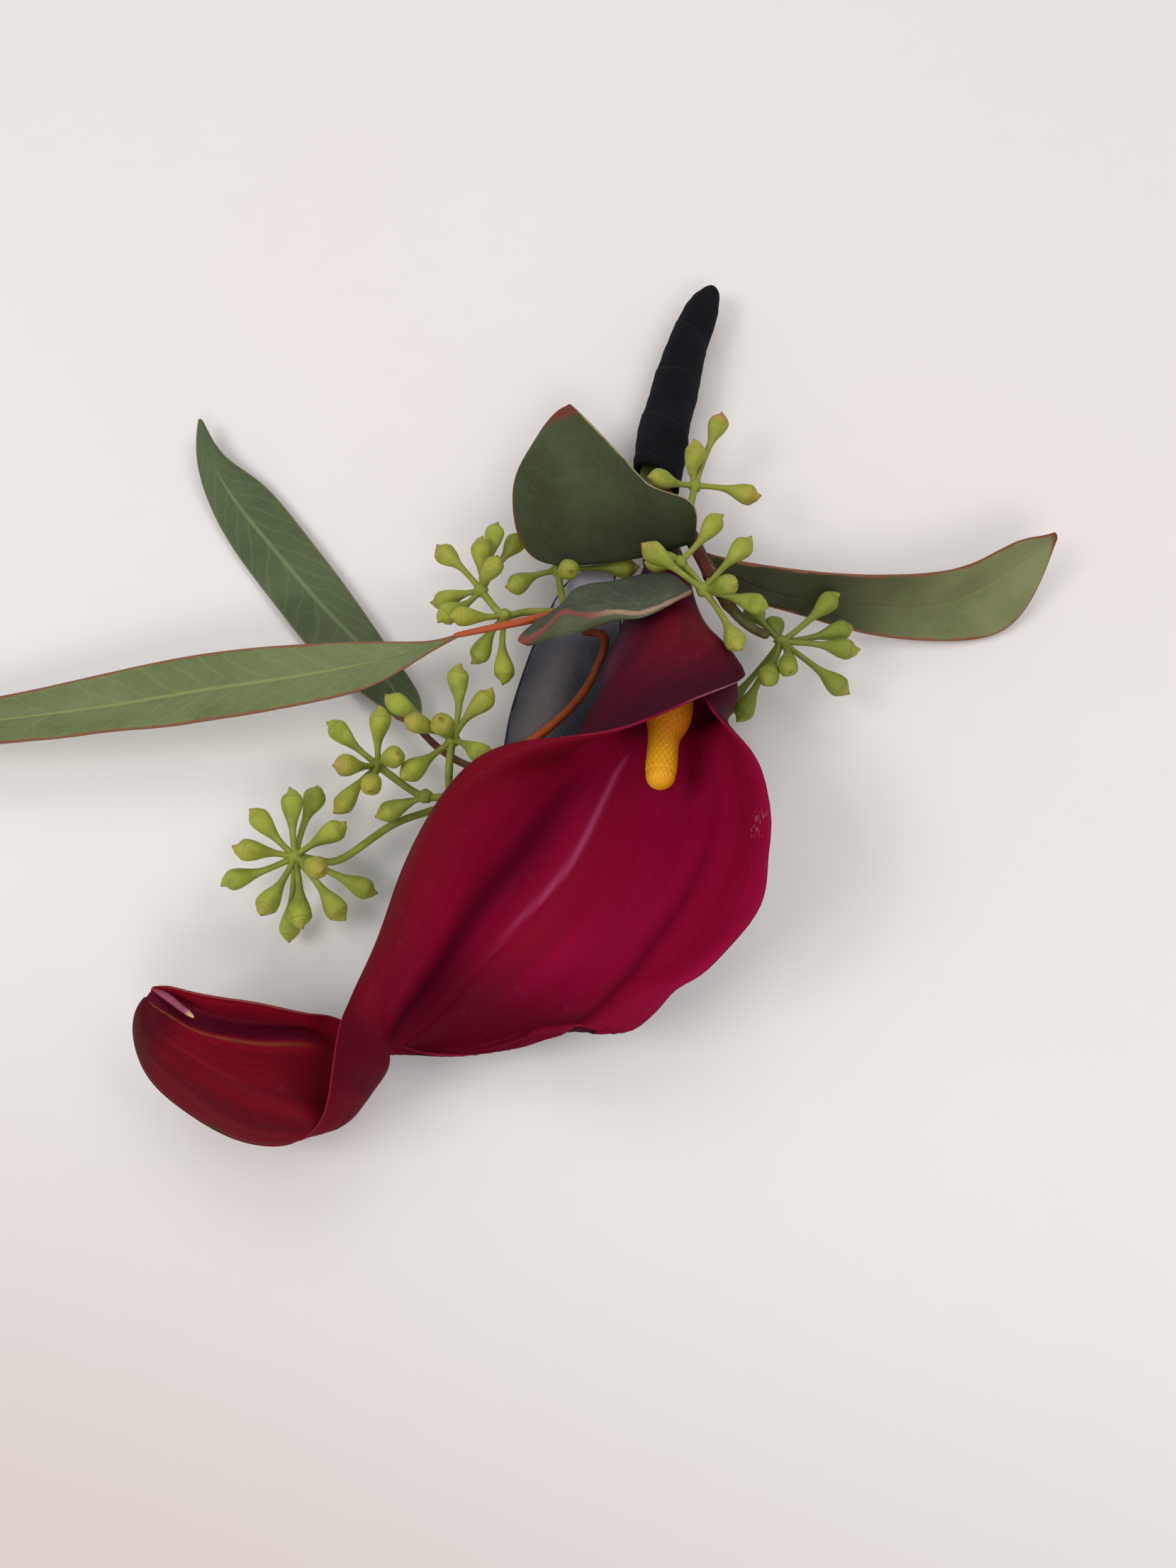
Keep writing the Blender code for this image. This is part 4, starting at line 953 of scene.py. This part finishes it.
# A bud is (compass angle from +X, rise, length of its stalk to the bud's middle).
umbels = {
    "umbel_at_wrap": {
        "stems": [[(33.0, 25.3, 8.6), (32.6, 23.2, 9.2), (32.2, 21.4, 9.6)]],
        "hubs": [
            ((33.0, 25.3, 8.6), [(70, 5, 10.5), (90, 30, 4.5), (-15, 5, 7.5), (-170, 30, 6.0)]),
        ],
        "tan": [1.0, 0.1, 0.5, 0.1],
    },
    "umbel_upper_left": {
        "stems": [[(3.6, 7.6, 9.8), (4.9, 5.7, 10.0), (6.8, 3.6, 10.2), (9.0, 4.3, 9.6), (11.9, 4.6, 9.4),
            (14.2, 4.7, 9.2)]],
        "hubs": [
            ((3.6, 7.6, 9.9), [(130, -5, 8.0), (90, 20, 5.5), (80, 0, 9.0), (65, -15, 10.5), (35, 60, 4.5),
            (-175, -20, 5.5), (-135, 10, 6.0)]),
            ((6.9, 3.6, 10.1), [(-165, 23, 6.0), (-130, -30, 6.0), (-90, -15, 7.5)]),
        ],
    },
    "umbel_by_folded_leaf": {
        # green: painted shade, as this cluster lies under the folded leaf.
        "green": 0.45,
        "stems": [[(13.9, 11.5, 8.6), (14.2, 9.3, 8.2), (14.7, 6.5, 7.8)]],
        "hubs": [
            ((13.9, 11.5, 8.6), [(-65, 57, 6.6), (-145, 22, 7.0), (0, 4, 9.2)]),
        ],
    },
    "umbel_centre": {
        "stems": [[(33.2, 5.5, 13.5), (33.7, 6.2, 13.5), (34.1, 6.9, 13.4)], [(33.2, 5.5, 13.5),
            (32.0, 7.6, 13.5), (30.6, 9.0, 13.9), (30.1, 9.3, 14.2)]],
        "hubs": [
            ((33.2, 5.5, 13.5), [(149, 20, 8.3), (47, 11, 7.8), (-27, 50, 4.8), (-70, 19, 10.6),
            (-9, -13, 7.2)]),
            ((30.1, 9.3, 14.2), [(50, 6, 7.2), (175, -12, 2.8)]),
        ],
    },
    "umbel_right": {
        # green: painted shade, as this cluster lies in shade.
        "green": 0.75,
        "stems": [[(44.0, 1.0, 7.5), (43.6, 1.3, 7.4), (43.2, 1.6, 7.4)]],
        "hubs": [
            ((44.0, 1.0, 7.5), [(40, 10, 8.5), (15, -5, 8.5), (-10, 5, 8.5), (-40, -5, 9.5), (-90, 35, 7.0),
            (-110, 25, 8.0), (115, -25, 8.0), (95, -38, 5.5), (-120, -15, 10.5), (-135, -25, 11.0)]),
        ],
    },
    "umbel_left": {
        "stems": [[(-9.1, -17.1, 7.4), (-5.7, -19.6, 6.8), (-2.7, -21.2, 6.8), (0.5, -20.9, 6.6)],
            [(0.5, -14.1, 9.0), (0.2, -17.0, 8.6), (0.1, -19.5, 7.4), (0.4, -20.9, 6.6)]],
        "hubs": [
            ((-9.1, -17.1, 7.5), [(140, 10, 7.0), (85, 35, 6.0), (-155, 45, 5.5), (-130, -5, 6.5),
            (-90, 45, 6.5), (-20, 60, 5.5)]),
            ((0.5, -14.1, 9.0), [(150, 15, 8.5), (85, 20, 8.0), (50, 15, 6.5), (-170, 80, 5.0),
            (175, 45, 6.0), (-135, 10, 7.0), (-40, 30, 6.0)]),
            ((-2.9, -21.1, 6.8), [(-155, 0, 5.0)]),
        ],
    },
    "umbel_lower_left": {
        "stems": [[(-19.1, -29.3, 6.5), (-16.2, -29.4, 5.4), (-13.1, -28.8, 5.0), (-8.2, -24.7, 4.4),
            (-4.0, -22.5, 4.0), (0.5, -20.7, 3.8), (2.5, -19.4, 3.9)]],
        "hubs": [
            ((-19.1, -29.3, 6.5), [(135, 15, 6.5), (95, 15, 7.0), (80, -10, 9.0), (30, 15, 6.0),
            (-180, 25, 6.0), (-160, -5, 8.0), (-110, 15, 7.5), (-80, 5, 8.0), (-95, -25, 9.0),
            (-50, -10, 8.5), (-40, 45, 7.0), (-20, -20, 9.5)]),
        ],
    },
}

# Outline of a bud: share of the stalk, millimetres past the stalk, radius.
budOutline = np.array([
    (0.00, 0.00, 0.62), (0.10, 0.00, 0.50), (0.30, 0.00, 0.41), (0.60, 0.00, 0.40), (0.85, 0.00, 0.45),
    (1.00, 0.00, 0.55), (1.00, 0.60, 0.71), (1.00, 1.20, 0.92), (1.00, 1.80, 1.13), (1.00, 2.40, 1.29),
    (1.00, 2.95, 1.37), (1.00, 3.35, 1.36), (1.00, 3.62, 1.27), (1.00, 3.78, 1.16), (1.00, 4.10, 0.90),
    (1.00, 4.40, 0.60), (1.00, 4.62, 0.36), (1.00, 4.82, 0.20), (1.00, 4.98, 0.07),
])
budBelly = 3.0


# A bud: its outline turned round a stalk that bows a little, four blunt corners on the club,
# and a nib that leans to one side.
def budPart(hub, compass, rise, length, tan, green):
    flat, up = np.cos(np.radians(rise)), np.sin(np.radians(rise))
    way = np.array([flat * np.cos(np.radians(compass)), flat * np.sin(np.radians(compass)), up])
    count, sides = fineness["bud"]
    outline = curveThrough(budOutline, count)
    outline[:, 0] = np.clip(outline[:, 0], 0, 1)
    reach = outline[:, 0] * (length - budBelly) + outline[:, 1]
    lean = unit(np.cross(way, draws.normal(size=3)))
    bow = draws.uniform(0.1, 0.45) * np.sin(np.pi * np.clip(reach / length, 0, 1))
    nib = 0.20 * ease(outline[:, 1], 4.1, 5.0)
    centre = np.array(hub) + reach[:, None] * way + (bow + nib)[:, None] * lean
    swell = 1 + draws.uniform(-0.02, 0.07) * ease(outline[:, 1], 0.0, 2.0)
    turn = roundTurn(sides) + draws.uniform(0, 2 * np.pi)
    corners = 0.055 * np.cos(4 * turn)[None, :] * ease(outline[:, 1], 0.3, 2.2)[:, None]
    corners = corners * ease(outline[:, 1], 4.4, 3.6)[:, None]
    reference = (0, 0, 1) if abs(up) < 0.7 else (1, 0, 0)
    tint = draws.uniform(0, 1)
    return tubePart(centre, np.maximum(outline[:, 2], 0.05) * swell, sides, corners, reference,
                    cap=outline[:, 1:2] / 5.0, tint=tint, tan=tan, green=green)


# The knob that the buds stand on.
def hubPart(hub, green):
    count, sides = fineness["hub"]
    arc = np.linspace(0.12, np.pi - 0.12, count)
    centre = np.array(hub) + np.cos(arc)[:, None] * (0, 0, -0.95)
    lumps = 0.06 * np.cos(5 * roundTurn(sides))[None, :] * np.sin(arc)[:, None]
    return tubePart(centre, 0.98 * np.sin(arc), sides, lumps, (1, 0, 0), cap=0.0, tint=0.3, tan=0.0,
                    green=green)


# A green stalk, thicker where it meets its hub and its twig, cut as finely as its path has points.
def stemPart(stem, green):
    count, sides = fineness["stem"]
    centre = curveThrough(stem, count * len(stem))
    share = np.linspace(0, 1, len(centre))
    radius = 0.50 + 0.12 * bell(share, 0, 0.08) + 0.08 * bell(share, 1, 0.05)
    lumps = 0.04 * ripplesRound(share * 12, sides, 1, 1.0)
    return tubePart(centre, radius, sides, lumps, cap=0.0, tint=0.0, tan=0.35 * share[:, None], green=green)


# Green in two tones, a darker stalk, a fine collar under the pale lid, tan where a bud has dried, and a
# deeper green painted as shade on the clusters that lie in shade.
def budFinish():
    finish = newFinish("bud_green", Roughness=0.5, Specular_IOR_Level=0.2)
    place = placeOf()
    patch = noiseOf(place, 1.8, 3.0)
    fine = noiseOf(place, 0.28, 3.0)
    cap = markOf("cap")
    tanShare = mathOf("MULTIPLY", markOf("tan"), rangeOf(cap, 0.45, 0.85, 0.15, 0.95))
    # The green mark is painted shade: a deeper green for the clusters that lie in shade.
    body = coats((0.50, 0.555, 0.18), (rangeOf(patch, 0.35, 0.65), 1, (0.60, 0.635, 0.245)),
                 ("tint", 0.55, (0.62, 0.61, 0.215)), ("green", 0.8, (0.37, 0.44, 0.155)),
                 (rangeOf(cap, 0.02, 0.35, 1.0, 0.0), 0.35, (0.42, 0.44, 0.20)),
                 (nearTo(cap, 0.735, 0.022), 0.45, (0.38, 0.40, 0.13)),
                 (rangeOf(cap, 0.72, 0.90), 0.45, (0.62, 0.60, 0.24)),
                 (tanShare, 1, (0.66, 0.49, 0.26)),
                 (rangeOf(cap, 0.93, 0.99), 0.8, (0.46, 0.34, 0.17)),
                 (rangeOf(fine, 0.60, 0.72), 0.35, (0.66, 0.68, 0.36)))
    connect(Base_Color=body, Roughness=rangeOf(patch, 0.3, 0.7, 0.42, 0.60),
            Normal=bumpOf(sumOf((patch, 0.6), (fine, 1.0)), 0.10, 0.6))
    return finish


budSkin = budFinish()
for umbelName, umbel in umbels.items():
    # How far each cluster's buds go over to the deeper green of painted shade.
    green = umbel.get("green", 0.0)
    umbelParts = [stemPart(stem, green) for stem in umbel["stems"]]
    for hub, buds in umbel["hubs"]:
        umbelParts.append(hubPart(hub, green))
        tans = umbel.get("tan", 0.35 * draws.uniform(0, 1, len(buds)) ** 2)
        umbelParts += [budPart(hub, *bud, tan, green) for bud, tan in zip(buds, tans)]
    addPiece(umbelName + "_buds", umbelParts, [budSkin], umbelName)
print("clusters done")


# Floor, lights and camera.

# A wide pale table: two near whites, a fine grain, and painted shade making it a little darker towards the
# near left.
def makeFloor():
    bpy.ops.mesh.primitive_plane_add(size=6.0, location=(0, 0, -0.0004))
    floor = bpy.context.object
    floor.name = "table_top"
    finish = newFinish("table_white", Roughness=0.55, Specular_IOR_Level=0.2)
    place = placeOf()
    axes = axesOf(place)
    # Painted shade: the table turns a little darker towards the near left, where the light falls off.
    towards = sumOf((axes[0], -0.35), (axes[1], -0.94))
    cloud = rangeOf(noiseOf(place, 180.0, 2.0), 0.3, 0.7)
    body = coats((0.915, 0.885, 0.865), (cloud, 1, (0.905, 0.895, 0.88)),
                 (noiseOf(place, 6.0, 3.0), 0.06, (0.80, 0.78, 0.76)),
                 (rangeOf(towards, 0.03, 0.16), 1, (0.79, 0.73, 0.705)))
    connect(Base_Color=body)
    floor.data.materials.append(finish)


# Each lamp: where it stands, how wide and tall it is, in metres, its power in watts and its colour.
lamps = {
    "lamp_left": ((-0.50, -0.22, 0.66), (0.45, 0.30), 2.3, (1.0, 0.985, 0.96)),
    "lamp_front": ((0.10, -0.85, 0.75), (0.60, 0.35), 3.4, (1.0, 0.99, 0.97)),
    "lamp_right": ((0.62, 0.15, 0.85), (0.60, 0.35), 1.1, (1.0, 0.985, 0.96)),
    "lamp_back": ((0.20, 0.60, 0.75), (0.70, 0.40), 1.3, (1.0, 0.99, 0.98)),
}


# A camera or lamp in the scene, standing at its place and facing its target.
def standAt(name, data, place, target):
    obj = bpy.data.objects.new(name, data)
    bpy.context.scene.collection.objects.link(obj)
    obj.location = place
    obj.rotation_euler = (Vector(target) - Vector(place)).to_track_quat("-Z", "Y").to_euler()
    return obj


def makeLamp(name, place, size, power, colour):
    light = bpy.data.lights.new(name, "AREA")
    light.shape = "RECTANGLE"
    light.size, light.size_y = size
    light.energy = power
    light.color = colour
    standAt(name, light, place, (0, 0, 0))


def makeWorld():
    world = bpy.data.worlds.new("soft_room")
    world.use_nodes = True
    background = world.node_tree.nodes["Background"]
    background.inputs["Color"].default_value = paint(0.96, 0.97, 1.0)
    background.inputs["Strength"].default_value = 0.55
    bpy.context.scene.world = world


view = {"target": (0.018, -0.0165, 0.0), "distance": 0.190, "elevation": 67.0, "lens": 32.47}


def makeCamera():
    camera = bpy.data.cameras.new("view")
    camera.lens = view["lens"]
    camera.sensor_width = 36.0
    camera.clip_start = 0.01
    rise = np.radians(view["elevation"])
    back = Vector((0, -np.cos(rise), np.sin(rise)))
    place = Vector(view["target"]) + view["distance"] * back
    bpy.context.scene.camera = standAt("view", camera, place, view["target"])


makeFloor()
for lampName, lamp in lamps.items():
    makeLamp(lampName, *lamp)
makeWorld()
makeCamera()
bpy.context.scene.view_settings.view_transform = "Standard"
